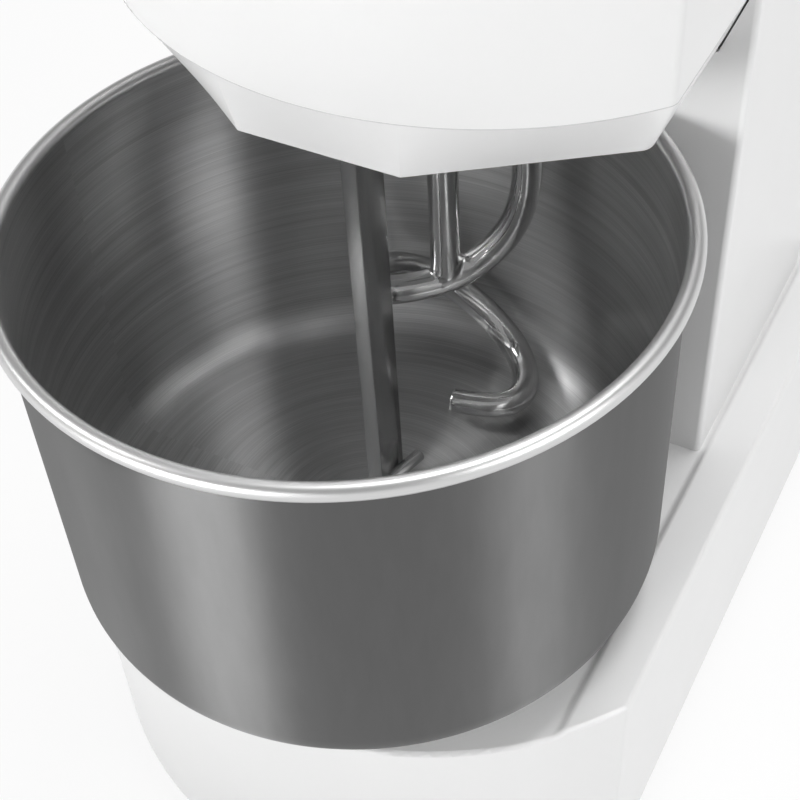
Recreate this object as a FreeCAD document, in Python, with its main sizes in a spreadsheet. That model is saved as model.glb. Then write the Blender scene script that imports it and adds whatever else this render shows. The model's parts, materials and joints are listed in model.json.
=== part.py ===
import FreeCAD, Part
import math
import os
import re

import Sketcher
from FreeCAD import Placement, Rotation, Vector

# Spiral dough mixer for a counter top. Millimetres, +Z up, the front faces -Y.
# The origin is on the table, under the middle of the whole machine: the bowl reaches past the base.

SIZES = [
    # base
    ("base_width", 342, "outer width of the base over its two rails"),
    ("base_length", 475, "front of the bow to the rear wall"),
    ("base_height", 163, "lower edge of the wall to the top of the rails"),
    ("base_front_radius", 210, "radius of the bowed front in plan"),
    ("base_rear_corner", 40, "rounded rear corners in plan"),
    ("base_wall", 3, "sheet of the base"),
    ("base_front_corner", 5, "rounded front corners in plan"),
    ("base_edge_round", 2.2, "soft upper edge"),
    ("rail_width", 22.5, "flat top of a side rail"),
    ("ramp_width", 6, "slope from a rail down to the deck"),
    ("deck_drop", 3, "deck below the rails"),
    ("plate_thickness", 2.5, "bottom plate"),
    ("plate_gap", 0.5, "play round the bottom plate"),
    ("foot_height", 12, "rubber foot"),
    ("foot_radius", 17, "rubber foot"),
    ("foot_inset", 42, "foot centre in from the sides and the rear"),
    ("foot_front_setback", 112, "front feet behind the bow"),
    # column
    ("column_width", 285, "outer width of the column"),
    ("column_setback", 137, "column front behind the bowl's axis"),
    ("column_depth", 193, "front to rear"),
    ("column_wall", 2.5, "sheet of the column"),
    ("column_edge_round", 3, "soft vertical front edges"),
    ("column_rear_corner", 12, "rounded rear corners"),
    ("recess_radius", 171, "hollow in the front that the bowl turns in"),
    ("rear_wall_margin", 10, "rear wall above its cover"),
    ("ear_radius", 34, "round ear that holds the hinge pin"),
    ("hinge_inset", 48, "hinge axis in front of the column's rear"),
    ("hinge_height", 283, "hinge axis above the deck"),
    ("hinge_pin_radius", 10, "hinge pin"),
    ("barrel_radius", 46, "rounded rear of the head, about the hinge axis"),
    ("bridge_depth", 36, "cross bar that the closed head rests on"),
    ("rest_pad_height", 7, "room for the rubber rest pads under the head"),
    ("rest_gap", 0.1, "closed head above its rest pads"),
    ("bridge_thickness", 6, "cross bar that the closed head rests on"),
    ("bridge_rear", 215, "rear of the cross bar behind the bowl's axis"),
    ("skirt_play", 1, "head skirt to the cheeks"),
    ("inlet_offset", 80, "power inlet right of the middle"),
    ("inlet_lift", 20, "power inlet above the deck"),
    ("inlet_width", 28, "power inlet"),
    ("inlet_height", 20, "power inlet"),
    ("inlet_depth", 22, "power inlet"),
    ("inlet_rim", 4, "flange of the power inlet"),
    ("cap_radius", 16, "hinge caps"),
    ("cap_thickness", 6, "hinge caps"),
    ("cover_width", 216, "rear cover"),
    ("cover_height", 168, "rear cover"),
    ("cover_lift", 40, "lower edge of the rear cover above the deck"),
    ("cover_lap", 12, "cover past its opening on each side"),
    ("cover_thickness", 2, "rear cover"),
    ("louvre_length", 120, "slot of the rear cover"),
    ("louvre_width", 6, "slot of the rear cover"),
    ("louvre_pitch", 14, "slot to slot"),
    # bowl
    ("bowl_setback", 131, "bowl's axis behind the front of the base"),
    ("bowl_lift", 19, "bowl's underside above the deck"),
    ("bowl_radius", 157.6, "outside of the wall"),
    ("bowl_wall", 1.5, "sheet of the bowl"),
    ("bowl_corner", 24, "rounded bottom corner"),
    ("bowl_depth", 208, "underside to the middle of the rim bead"),
    ("bead_radius", 4.2, "rolled rim bead"),
    ("hub_radius", 62, "drive hub under the bowl"),
    # bowl drive
    ("bowl_shaft_radius", 12.5, "shaft in its bearings"),
    ("bowl_bearing_radius", 26, "outer ring"),
    ("bearing_height", 15, "ball bearing"),
    ("housing_wall", 7, "wall of both bearing housings"),
    ("housing_flange", 20, "flange past the housing wall"),
    ("bowl_housing_height", 84, "bowl bearing housing"),
    ("bowl_pulley_radius", 88, "belt seat of the bowl pulley"),
    ("small_pulley_radius", 22, "belt seat of both motor pulleys"),
    ("pulley_height", 20, "all pulleys"),
    ("pulley_lip", 4, "flange of a pulley past its belt seat"),
    ("belt_thickness", 3.5, "flat belt"),
    ("belt_width", 13, "flat belt"),
    ("belt_play", 0.3, "belt off the pulley"),
    ("bowl_pulley_lift", 16, "bowl pulley above the bottom plate"),
    ("motor_setback", 240, "both motors behind the bowl's axis"),
    ("bowl_motor_radius", 58, "bowl motor"),
    ("bowl_motor_height", 108, "bowl motor above its flange"),
    ("motor_nose_radius", 34, "lower nose of the bowl motor"),
    ("motor_shaft_radius", 9, "both motor shafts"),
    ("motor_plate_thickness", 6, "plate under the bowl motor"),
    ("flange_thickness", 8, "flanges of the motors and housings"),
    # head
    ("head_gap", 48, "rim bead to the underside of the head"),
    ("skirt_height", 32, "faceted lower cover"),
    ("head_height", 153, "seam to the top of the head"),
    ("head_width", 279, "outer width of the head"),
    ("head_overhang", 24, "head front in front of the bowl's axis"),
    ("head_front_radius", 187, "bowed front of the head in plan"),
    ("head_front_corner", 7, "crease between the bowed front and a side"),
    ("head_rear_corner", 14, "rounded rear corners"),
    ("head_wall", 3, "sheet of the head"),
    ("head_top_round", 18, "rounded top edge"),
    ("skirt_width", 255, "skirt at its lower edge"),
    ("skirt_front_width", 80, "front facet at its lower edge"),
    ("skirt_front_inset", 11, "front facet behind the head's front"),
    ("skirt_corner_setback", 60, "side corners behind the front facet"),
    ("skirt_corner_soft", 4, "rounded part of a facet beside a side corner"),
    ("skirt_length", 238, "skirt at its lower edge"),
    ("skirt_wall", 3, "sheet of the skirt"),
    ("chassis_thickness", 6, "plate inside the head"),
    ("chassis_play", 0.5, "chassis plate to the head's wall"),
    ("rib_thickness", 8, "two ribs that carry the hinge bushes"),
    ("rib_spacing", 200, "middle of one rib to the other"),
    ("bush_wall", 4, "hinge bush"),
    # hook and bar
    ("hook_offset", 101, "spindle behind the bowl's axis"),
    ("hook_shaft_radius", 8, "straight shaft of the hook"),
    ("hook_rod_radius", 7, "bent rod of the hook"),
    ("hook_reach", 46, "rod middle to the spindle's axis"),
    ("hook_floor_gap", 7.5, "hook above the bowl's floor"),
    ("hook_loop_drop", 3, "top of the hook's loop below the rim bead"),
    ("spindle_radius", 15, "spindle in its bearings"),
    ("spindle_tail", 32, "spindle below the skirt"),
    ("spindle_bearing_radius", 27.5, "outer ring"),
    ("spindle_housing_height", 87, "spindle bearing housing above the chassis plate"),
    ("seal_thickness", 4, "shaft seal in the skirt"),
    ("cross_pin_radius", 3, "pin through spindle and hook"),
    ("hook_pulley_radius", 78, "belt seat of the hook pulley"),
    ("hook_pulley_lift", 95, "hook pulley above the chassis plate"),
    ("hook_motor_radius", 56, "hook motor"),
    ("hook_motor_height", 84, "hook motor"),
    ("bar_offset", 22.5, "breaker bar behind the bowl's axis"),
    ("bar_width", 8.5, "breaker bar, across"),
    ("bar_depth", 24.6, "breaker bar, front to rear"),
    ("bar_floor_gap", 9, "breaker bar above the bowl's floor"),
    ("clamp_wall", 9, "clamp block round the breaker bar"),
    ("clamp_height", 26, "clamp block"),
    ("clamp_bolt_radius", 3, "clamp bolts"),
    # controls
    ("panel_width", 176, "control panel"),
    ("panel_depth", 54, "control panel"),
    ("panel_thickness", 2.5, "control panel"),
    ("panel_setback", 76, "middle of the panel behind the head's front"),
    ("panel_corner", 8, "rounded corners of the panel"),
    ("knob_inset", 29, "each knob in from its end of the panel"),
    ("knob_radius", 18, "both knobs"),
    ("knob_height", 17, "both knobs"),
    ("knob_shaft_radius", 4, "both knobs"),
    ("button_spacing", 36, "start button to stop button"),
    ("button_radius", 10, "both buttons"),
    ("button_height", 7, "button above its bezel's foot"),
    ("button_travel", 3, "push of a button"),
    ("bezel_wall", 3, "ring round a button"),
    ("bezel_height", 4, "ring round a button"),
    ("unit_height", 15, "timer, speed and switch units under the panel"),
    ("unit_width", 34, "timer and speed units"),
    # head lock
    ("lock_reach", 26, "lock pin from the hinge axis"),
    ("lock_angle", 45, "lock pin above the level line through the hinge axis"),
    ("lock_raised_angle", 50, "tilt of the raised head"),
    ("lock_pin_radius", 4, "lock pin"),
    ("lock_travel", 12, "lock pin into the head"),
    ("lock_bush_length", 6, "bush of the lock pin"),
    ("lock_bush_wall", 3.5, "bush of the lock pin"),
    ("lock_knob_radius", 10, "lock knob"),
    ("lock_knob_length", 8, "lock knob"),
    # fits
    ("running_fit", 0.05, "radial play of a shaft that turns in a bore"),
    ("free_gap", 0.5, "radial play of what passes freely through a hole"),
    ("screw_radius", 2, "small screws"),
    ("screw_head_radius", 4, "small screws"),
    ("screw_head_height", 2.4, "small screws"),
]

PLACES = [
    # heights
    ("deck_z", "foot_height + base_height - deck_drop"),
    ("rail_z", "foot_height + base_height"),
    ("bowl_z", "deck_z + bowl_lift"),
    ("floor_z", "bowl_z + bowl_wall"),
    ("rim_z", "bowl_z + bowl_depth"),
    ("skirt_z", "rim_z + head_gap"),
    ("seam_z", "skirt_z + skirt_height"),
    ("chassis_z", "seam_z + chassis_thickness"),
    ("head_top_z", "seam_z + head_height"),
    ("panel_z", "head_top_z + panel_thickness"),
    ("hinge_z", "deck_z + hinge_height"),
    ("cheek_z", "hinge_z + ear_radius"),
    ("rear_wall_z", "deck_z + cover_lift + cover_height + rear_wall_margin"),
    ("bowl_pulley_z", "foot_height + plate_thickness + bowl_pulley_lift"),
    ("hook_pulley_z", "chassis_z + hook_pulley_lift"),
    ("spindle_end_z", "skirt_z - spindle_tail"),
    ("lock_z", "hinge_z + lock_reach * sin(lock_angle * 1 deg)"),
    # front to rear
    ("front_overhang", "bowl_radius - bowl_wall / 2 + 1.75 * bead_radius - bowl_setback"),
    ("base_front_y", "(front_overhang - base_length) / 2"),
    ("base_rear_y", "(front_overhang + base_length) / 2"),
    ("bowl_y", "base_front_y + bowl_setback"),
    ("column_y", "bowl_y + column_setback"),
    ("column_rear_y", "column_y + column_depth"),
    ("hinge_y", "column_rear_y - hinge_inset"),
    ("head_front_y", "bowl_y - head_overhang"),
    ("head_rear_y", "hinge_y + barrel_radius"),
    ("skirt_front_y", "head_front_y + skirt_front_inset"),
    ("skirt_rear_y", "skirt_front_y + skirt_length"),
    ("hook_y", "bowl_y + hook_offset"),
    ("bar_y", "bowl_y + bar_offset"),
    ("motor_y", "bowl_y + motor_setback"),
    ("panel_y", "head_front_y + panel_setback"),
    ("lock_y", "hinge_y - lock_reach * cos(lock_angle * 1 deg)"),
    ("bridge_y", "bowl_y + bridge_rear - bridge_depth"),
    ("skirt_slope", "(head_width - skirt_width) / 2 / skirt_height"),
    # across
    ("bead_ring_radius", "bowl_radius - bowl_wall / 2 + 0.75 * bead_radius"),
    ("column_half", "column_width / 2"),
    ("head_half", "head_width / 2"),
    ("skirt_half", "skirt_width / 2"),
    ("base_half", "base_width / 2"),
]

# Course of the hook's rod, from the loop's start on the shaft down to the tip:
# distance from the spindle as a share of the reach, direction in degrees
# (0 is +X, 90 is to the rear) and share of the drop from loop to floor.
HOOK_COURSE = [
    (0.00, 0, 0.000),
    (0.45, 37, 0.000),
    (0.89, 39, 0.068),
    (0.97, 40, 0.258),
    (0.86, 38, 0.415),
    (0.59, 38, 0.515),
    (0.14, 28, 0.598),
    (0.33, -134, 0.603),
    (0.77, -137, 0.603),
    (1.01, -162, 0.637),
    (1.00, 164, 0.712),
    (0.92, 130, 0.798),
    (0.88, 99, 0.884),
    (0.90, 66, 0.960),
    (0.95, 36, 1.000),
    (1.03, 2, 1.000),
    (0.83, -19, 1.000),
    (0.42, -60, 1.000),
]
BEND_SHARE = 0.49

doc = FreeCAD.newDocument("SpiralMixer")


# spreadsheets and expressions

def fill_sheet(name, rows):
    sheet = doc.addObject("Spreadsheet::Sheet", name)
    for number, row in enumerate(rows, start=1):
        sheet.set("A%d" % number, row[0])
        sheet.set("B%d" % number, row[1])
        sheet.setAlias("B%d" % number, row[0])
        if len(row) > 2:
            sheet.set("C%d" % number, row[2])
    doc.recompute()
    return sheet


OWNER = {}
for row in SIZES:
    OWNER[row[0]] = "Size"
for row in PLACES:
    OWNER[row[0]] = "Place"


def full(expression):
    """The expression with each named size written as Sheet.name."""
    def with_sheet(match):
        word = match.group(0)
        return "%s.%s" % (OWNER[word], word) if word in OWNER else word
    return re.sub(r"[A-Za-z_]\w*", with_sheet, str(expression))


size_sheet = fill_sheet("Size", [(name, str(value), note) for name, value, note in SIZES])
place_sheet = fill_sheet("Place", [(name, "=" + full(rule)) for name, rule in PLACES])


def value(expression):
    return float(size_sheet.evalExpression(full(expression)))


def bind(thing, prop, expression):
    thing.setExpression(prop, full(expression))


# sketches and bodies

def new_body(label, x="0", y="0", z="0"):
    body = doc.addObject("PartDesign::Body", label)
    body.Label = label
    for axis, expression in (("x", x), ("y", y), ("z", z)):
        if expression != "0":
            bind(body, "Placement.Base." + axis, expression)
    return body


def new_sketch(body, plane, offset="0"):
    support = [item for item in body.Origin.OriginFeatures if item.Role == plane][0]
    sketch = body.newObject("Sketcher::SketchObject", body.Label + "_sketch")
    sketch.AttachmentSupport = [(support, "")]
    sketch.MapMode = "FlatFace"
    if offset != "0":
        bind(sketch, "AttachmentOffset.Base.z", offset)
    return sketch


def arc_middle(start, end, radius, turn):
    """Middle of the minor arc from start to end that turns left or right on the way."""
    chord = end.sub(start)
    sagitta = radius - math.sqrt(max(radius ** 2 - (chord.Length / 2) ** 2, 0))
    outward = Vector(chord.y, -chord.x, 0).normalize()
    if turn == "right":
        outward = outward.negative()
    return start.add(end).multiply(0.5).add(outward.multiply(sagitta))


def outline(sketch, points):
    """Closed outline. A point is (x, y), or (x, y, radius, turn) at the end of an arc."""
    places = [Vector(value(point[0]), value(point[1]), 0) for point in points]
    ends = []
    for index, point in enumerate(points):
        start, end = places[index - 1], places[index]
        if len(point) == 4:
            middle = arc_middle(start, end, value(point[2]), point[3])
            left = point[3] == "left"
            curve = Part.Arc(start, middle, end) if left else Part.Arc(end, middle, start)
        else:
            curve = Part.LineSegment(start, end)
        edge = sketch.addGeometry(curve)
        forward = sketch.Geometry[edge].StartPoint.distanceToPoint(start) < 1e-6
        ends.append((edge, 1, 2) if forward else (edge, 2, 1))
    for index, point in enumerate(points):
        edge, first, last = ends[index]
        following = ends[(index + 1) % len(points)]
        sketch.addConstraint(Sketcher.Constraint("Coincident", edge, last, following[0], following[1]))
        for kind, expression, number in (("DistanceX", point[0], places[index].x),
                                         ("DistanceY", point[1], places[index].y)):
            place = sketch.addConstraint(Sketcher.Constraint(kind, -1, 1, edge, last, number))
            bind(sketch, "Constraints[%d]" % place, expression)
        if len(point) == 4:
            size = sketch.addConstraint(Sketcher.Constraint("Radius", edge, value(point[2])))
            bind(sketch, "Constraints[%d]" % size, point[2])


def circle(sketch, x, y, radius):
    middle = Vector(value(x), value(y), 0)
    ring = sketch.addGeometry(Part.Circle(middle, Vector(0, 0, 1), value(radius)))
    for kind, expression, number in (("DistanceX", x, middle.x), ("DistanceY", y, middle.y)):
        place = sketch.addConstraint(Sketcher.Constraint(kind, -1, 1, ring, 3, number))
        bind(sketch, "Constraints[%d]" % place, expression)
    size = sketch.addConstraint(Sketcher.Constraint("Radius", ring, value(radius)))
    bind(sketch, "Constraints[%d]" % size, radius)


def rectangle(left, right, low, high):
    return [(left, low), (right, low), (right, high), (left, high)]


def rounded_rectangle(left, right, low, high, radius):
    return [
        ("(%s) + (%s)" % (left, radius), low),
        ("(%s) - (%s)" % (right, radius), low),
        (right, "(%s) + (%s)" % (low, radius), radius, "left"),
        (right, "(%s) - (%s)" % (high, radius)),
        ("(%s) - (%s)" % (right, radius), high, radius, "left"),
        ("(%s) + (%s)" % (left, radius), high),
        (left, "(%s) - (%s)" % (high, radius), radius, "left"),
        (left, "(%s) + (%s)" % (low, radius)),
        ("(%s) + (%s)" % (left, radius), low, radius, "left"),
    ][1:]


def pad(body, sketch, length, reverse=False, both=False):
    feature = body.newObject("PartDesign::Pad", body.Label + "_pad")
    feature.Profile = sketch
    bind(feature, "Length", length)
    feature.Reversed = reverse
    if both:
        feature.SideType = "Symmetric"
    sketch.Visibility = False
    return feature


def pocket(body, sketch, length=None, reverse=False, both=False):
    """Cut by a length, or right through where no length is given. It has to remove something."""
    doc.recompute()
    before = body.Shape.Volume
    feature = body.newObject("PartDesign::Pocket", body.Label + "_pocket")
    feature.Profile = sketch
    if length is None:
        feature.Type = "ThroughAll"
    else:
        bind(feature, "Length", length)
    feature.Reversed = reverse
    if both:
        feature.SideType = "Symmetric"
    doc.recompute()
    if body.Shape.Volume > before - 1e-3:
        raise RuntimeError("a cut in %s removes nothing" % body.Label)
    return feature


def round_edges(body, radius, wanted):
    """Fillet every edge of the body's last feature that wanted() picks."""
    doc.recompute()
    base = body.Tip
    names = ["Edge%d" % number for number, edge in enumerate(base.Shape.Edges, start=1) if wanted(edge)]
    if not names:
        raise RuntimeError("no edge to round in %s" % body.Label)
    feature = body.newObject("PartDesign::Fillet", body.Label + "_round")
    feature.Base = (base, names)
    bind(feature, "Radius", radius)
    return feature


def turned(label, points, x="0", y="0", z="0"):
    """A body turned about a vertical axis from its half outline of (radius, height)."""
    body = new_body(label, x, y, z)
    sketch = new_sketch(body, "XZ_Plane")
    outline(sketch, points)
    feature = body.newObject("PartDesign::Revolution", label + "_turn")
    feature.Profile = sketch
    feature.ReferenceAxis = (sketch, ["V_Axis"])
    feature.Angle = 360
    return body


def plate(label, points, low, height, holes=()):
    """A body padded up from an outline in plan, with round holes (x, y, radius)."""
    body = new_body(label)
    sketch = new_sketch(body, "XY_Plane", low)
    outline(sketch, points)
    for hole in holes:
        circle(sketch, *hole)
    pad(body, sketch, height)
    return body


def drill(body, plane, holes, offset="0", length=None, reverse=False, both=False):
    sketch = new_sketch(body, plane, offset)
    for hole in holes:
        circle(sketch, *hole)
    return pocket(body, sketch, length, reverse, both)


def edge_is_vertical(edge):
    return abs(edge.BoundBox.XLength) < 1e-6 and abs(edge.BoundBox.YLength) < 1e-6


def edge_lies_at(edge, height):
    box = edge.BoundBox
    return abs(box.ZMin - height) < 1e-4 and abs(box.ZMax - height) < 1e-4


def group(label, shapes):
    """One node of separate solids that share a shape, such as a set of screws."""
    node = doc.addObject("Part::Feature", label)
    node.Label = label
    node.Shape = Part.Compound(shapes)
    return node


def screw(place, direction, shank_length):
    """Screw with a domed head on the surface at place; direction points out of it."""
    head = Part.makeCylinder(value("screw_head_radius"), value("screw_head_height"))
    head = head.makeFillet(value("screw_head_height") * 0.6, [head.Edges[0]])
    slot_width = value("screw_head_radius") * 0.3
    slot = Part.makeBox(3 * value("screw_head_radius"), slot_width, value("screw_head_height"),
                        Vector(-1.5 * value("screw_head_radius"), -slot_width / 2,
                               value("screw_head_height") * 0.6))
    shank = Part.makeCylinder(value("screw_radius"), shank_length, Vector(0, 0, -shank_length))
    shape = head.cut(slot).fuse(shank).removeSplitter()
    shape.Placement = Placement(place, Rotation(Vector(0, 0, 1), direction))
    return shape


# plan outlines that several pieces share

def base_outline(inset):
    """Bowed front, straight rails and rounded corners, drawn in by inset."""
    half = "(base_half - (%s))" % inset
    bow = "(base_front_radius - (%s))" % inset
    soft = "(base_front_corner - (%s))" % inset
    middle = "(base_front_y + base_front_radius)"
    drop = "sqrt((%s - %s) ^ 2 - (%s - %s) ^ 2)" % (bow, soft, half, soft)
    grow = "%s / (%s - %s)" % (bow, bow, soft)
    bow_x = "((%s - %s) * %s)" % (half, soft, grow)
    bow_y = "(%s - %s * %s)" % (middle, drop, grow)
    side_y = "(%s - %s)" % (middle, drop)
    rear = "(base_rear_y - (%s))" % inset
    corner = "(base_rear_corner - (%s))" % inset
    return [
        (bow_x, bow_y, bow, "left"),
        (half, side_y, soft, "left"),
        (half, "%s - %s" % (rear, corner)),
        ("%s - %s" % (half, corner), rear, corner, "left"),
        ("-%s + %s" % (half, corner), rear),
        ("-%s" % half, "%s - %s" % (rear, corner), corner, "left"),
        ("-%s" % half, side_y),
        ("-%s" % bow_x, bow_y, soft, "left"),
    ]


def head_corner(inset):
    """Half width, bow radius and the ends of the arc that joins the bowed front to a side."""
    half = "(head_half - (%s))" % inset
    bow = "(head_front_radius - (%s))" % inset
    across = "(%s - head_front_corner)" % half
    reach = "(%s - head_front_corner)" % bow
    along = "sqrt(%s ^ 2 - %s ^ 2)" % (reach, across)
    middle = "head_front_y + head_front_radius"
    bow_x = "(%s * %s / %s)" % (bow, across, reach)
    bow_y = "(%s - %s * %s / %s)" % (middle, bow, along, reach)
    side_y = "(%s - %s)" % (middle, along)
    return half, bow, bow_x, bow_y, side_y


def head_outline(inset, rear):
    """Bowed front and straight sides of the head, drawn in by inset, to a square rear."""
    half, bow, bow_x, bow_y, side_y = head_corner(inset)
    return [
        (bow_x, bow_y, bow, "left"),
        (half, side_y, "head_front_corner", "left"),
        (half, rear),
        ("-" + half, rear),
        ("-" + half, side_y),
        ("-" + bow_x, bow_y, "head_front_corner", "left"),
    ]


def column_outline(inset):
    """Column in plan with the hollow for the bowl, drawn in by inset."""
    half = "(column_half - (%s))" % inset
    front = "(column_y + (%s))" % inset
    rear = "(column_rear_y - (%s))" % inset
    hollow = "(recess_radius + (%s))" % inset
    mouth = "sqrt(%s ^ 2 - (column_setback + (%s)) ^ 2)" % (hollow, inset)
    corner = "(column_rear_corner - (%s))" % inset
    return [
        (half, front),
        (half, "%s - %s" % (rear, corner)),
        ("%s - %s" % (half, corner), rear, corner, "left"),
        ("-%s + %s" % (half, corner), rear),
        ("-" + half, "%s - %s" % (rear, corner), corner, "left"),
        ("-" + half, front),
        ("-" + mouth, front),
        (mouth, front, hollow, "right"),
    ]


# casing

def make_base():
    body = plate("base_shell", base_outline("0"), "foot_height", "base_height")
    # low deck between the rails, each rail rolling down to it in two equal arcs
    deck = new_sketch(body, "XZ_Plane")
    roll = "((ramp_width ^ 2 + deck_drop ^ 2) / (4 * deck_drop))"
    ramp_x = "(base_half - rail_width - ramp_width / 2)"
    ramp_z = "rail_z - deck_drop / 2"
    outline(deck, [
        ("-base_half + rail_width + ramp_width", "deck_z", roll, "left"),
        ("base_half - rail_width - ramp_width", "deck_z"),
        (ramp_x, ramp_z, roll, "left"),
        ("base_half - rail_width", "rail_z", roll, "right"),
        ("base_half - rail_width", "rail_z + deck_drop"),
        ("-base_half + rail_width", "rail_z + deck_drop"),
        ("-base_half + rail_width", "rail_z"),
        ("-" + ramp_x, ramp_z, roll, "right"),
    ])
    pocket(body, deck, both=True)
    low = value("deck_z") - 1e-4
    inner = value("base_half - rail_width / 2")

    def on_upper_rim(edge):
        box = edge.BoundBox
        return box.ZMin > low and not (box.XLength < 1e-6 and abs(box.XMin) < inner)

    round_edges(body, "base_edge_round", on_upper_rim)
    hollow = new_sketch(body, "XY_Plane", "foot_height")
    outline(hollow, base_outline("base_wall"))
    pocket(body, hollow, "base_height - deck_drop - base_wall", reverse=True)
    drill(body, "XY_Plane", [
        ("0", "bowl_y", "bowl_shaft_radius + housing_wall"),
        ("0", "motor_y", "motor_nose_radius + free_gap"),
    ], reverse=True)
    return body


def plate_screw_places():
    side = "base_half - base_wall - 14"
    rows = ["base_front_y + foot_front_setback + 30", "base_rear_y - foot_inset - 30"]
    return [(x, y) for x in (side, "-(%s)" % side) for y in rows]


def make_bottom():
    holes = [(x, y, "screw_radius + free_gap") for x, y in plate_screw_places()]
    plate("base_plate", base_outline("base_wall + plate_gap"), "foot_height", "plate_thickness", holes)
    posts = []
    screws = []
    floor = value("foot_height + plate_thickness")
    height = value("base_height - deck_drop - base_wall - plate_thickness")
    for x, y in plate_screw_places():
        post = Part.makeCylinder(3 * value("screw_radius"), height, Vector(value(x), value(y), floor))
        hole = Part.makeCylinder(value("screw_radius"), value("6 * screw_radius"),
                                 Vector(value(x), value(y), floor))
        posts.append(post.cut(hole))
        screws.append(screw(Vector(value(x), value(y), value("foot_height")), Vector(0, 0, -1),
                            value("plate_thickness + 5 * screw_radius")))
    group("plate_posts", posts)
    group("plate_screws", screws)
    feet = []
    for x in ("base_half - foot_inset", "foot_inset - base_half"):
        for y in ("base_front_y + foot_front_setback", "base_rear_y - foot_inset"):
            foot = Part.makeCone(value("foot_radius") - 2, value("foot_radius"), value("foot_height"),
                                 Vector(value(x), value(y), 0))
            sole = Part.makeCylinder(value("foot_radius") * 0.45, 2, Vector(value(x), value(y), 0))
            feet.append(foot.cut(sole))
    group("rubber_feet", feet)


def make_column():
    body = plate("column_shell", column_outline("0"), "deck_z", "cheek_z - deck_z")
    round_edges(body, "column_edge_round",
                lambda edge: edge_is_vertical(edge) and abs(abs(edge.BoundBox.XMin) - value("column_half")) < 1e-3
                and edge.BoundBox.YMin < value("column_y") + 1)
    inside = new_sketch(body, "XY_Plane", "deck_z")
    outline(inside, column_outline("column_wall"))
    pocket(body, inside, reverse=True)
    # side view: straight cheek, round ear about the hinge axis, low rear wall
    trim = new_sketch(body, "YZ_Plane")
    over = "(cheek_z + 5)"
    outline(trim, [
        ("hinge_y", "cheek_z"),
        ("hinge_y + ear_radius", "hinge_z", "ear_radius", "right"),
        ("hinge_y + ear_radius", "rear_wall_z"),
        ("column_rear_y + 5", "rear_wall_z"),
        ("column_rear_y + 5", over),
        ("hinge_y", over),
    ])
    pocket(body, trim, both=True)
    # gap in the front wall that the skirt drops into
    gap = new_sketch(body, "XZ_Plane", "-column_y - column_depth / 2")
    low = "skirt_half + skirt_play - rest_pad_height * skirt_slope"
    high = "head_half + skirt_play"
    outline(gap, [("-(%s)" % low, "skirt_z - rest_pad_height"), (low, "skirt_z - rest_pad_height"),
                  (high, "seam_z"), (high, over), ("-(%s)" % high, over), ("-(%s)" % high, "seam_z")])
    pocket(body, gap, "column_depth", reverse=True)
    round_gap = new_sketch(body, "XZ_Plane", "-column_rear_y")
    cover = "cover_width / 2 - cover_lap"
    outline(round_gap, rounded_rectangle(
        "-(%s)" % cover, cover, "deck_z + cover_lift + cover_lap",
        "deck_z + cover_lift + cover_height - cover_lap", "cover_lap"))
    pocket(body, round_gap, "3 * column_wall", reverse=True)
    drill(body, "YZ_Plane", [("hinge_y", "hinge_z", "hinge_pin_radius + running_fit")], both=True)
    drill(body, "YZ_Plane", [("lock_y", "lock_z", "lock_pin_radius + free_gap")])
    drill(body, "XZ_Plane", [(x, z, "screw_radius + free_gap") for x, z in cover_screw_places()],
          "-column_rear_y", "2 * column_wall", reverse=True)
    inlet = new_sketch(body, "XZ_Plane", "-column_rear_y")
    outline(inlet, rectangle("inlet_offset - inlet_width / 2 - free_gap", "inlet_offset + inlet_width / 2 + free_gap",
                             "deck_z + inlet_lift - inlet_height / 2 - free_gap",
                             "deck_z + inlet_lift + inlet_height / 2 + free_gap"))
    pocket(body, inlet, "2 * column_wall", reverse=True)
    return body


def cover_screw_places():
    side = "cover_width / 2 - cover_lap / 2"
    low = "deck_z + cover_lift + cover_lap / 2"
    high = "deck_z + cover_lift + cover_height - cover_lap / 2"
    return [(side, low), ("-(%s)" % side, low), (side, high), ("-(%s)" % side, high)]


def make_rear_cover():
    """Louvred cover on the column's rear, with its screws."""
    body = new_body("rear_cover")
    face = new_sketch(body, "XZ_Plane", "-column_rear_y")
    outline(face, rounded_rectangle("-cover_width / 2", "cover_width / 2", "deck_z + cover_lift",
                                    "deck_z + cover_lift + cover_height", "cover_lap"))
    pad(body, face, "cover_thickness", reverse=True)
    drill(body, "XZ_Plane", [(x, z, "screw_radius + free_gap") for x, z in cover_screw_places()],
          "-column_rear_y - cover_thickness", "2 * cover_thickness", reverse=True)
    rows = int(value("(cover_height - 4 * cover_lap) / louvre_pitch")) + 1
    lowest = "(deck_z + cover_lift + cover_height / 2 - %s * louvre_pitch)" % ((rows - 1) / 2)
    slot = new_sketch(body, "XZ_Plane", "-column_rear_y - cover_thickness")
    outline(slot, rounded_rectangle("-louvre_length / 2", "louvre_length / 2", lowest + " - louvre_width / 2",
                                    lowest + " + louvre_width / 2", "louvre_width / 2 - 0.01"))
    cut = pocket(body, slot, "2 * cover_thickness", reverse=True)
    louvres = body.newObject("PartDesign::LinearPattern", "rear_cover_louvres")
    louvres.Originals = [cut]
    louvres.Direction = (slot, ["V_Axis"])
    louvres.Occurrences = rows
    bind(louvres, "Length", "louvre_pitch * %d" % (rows - 1))
    body.Tip = louvres
    outside = value("column_rear_y + cover_thickness")
    group("rear_cover_screws", [
        screw(Vector(value(x), outside, value(z)), Vector(0, 1, 0), value("cover_thickness + column_wall + 3"))
        for x, z in cover_screw_places()])


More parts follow.
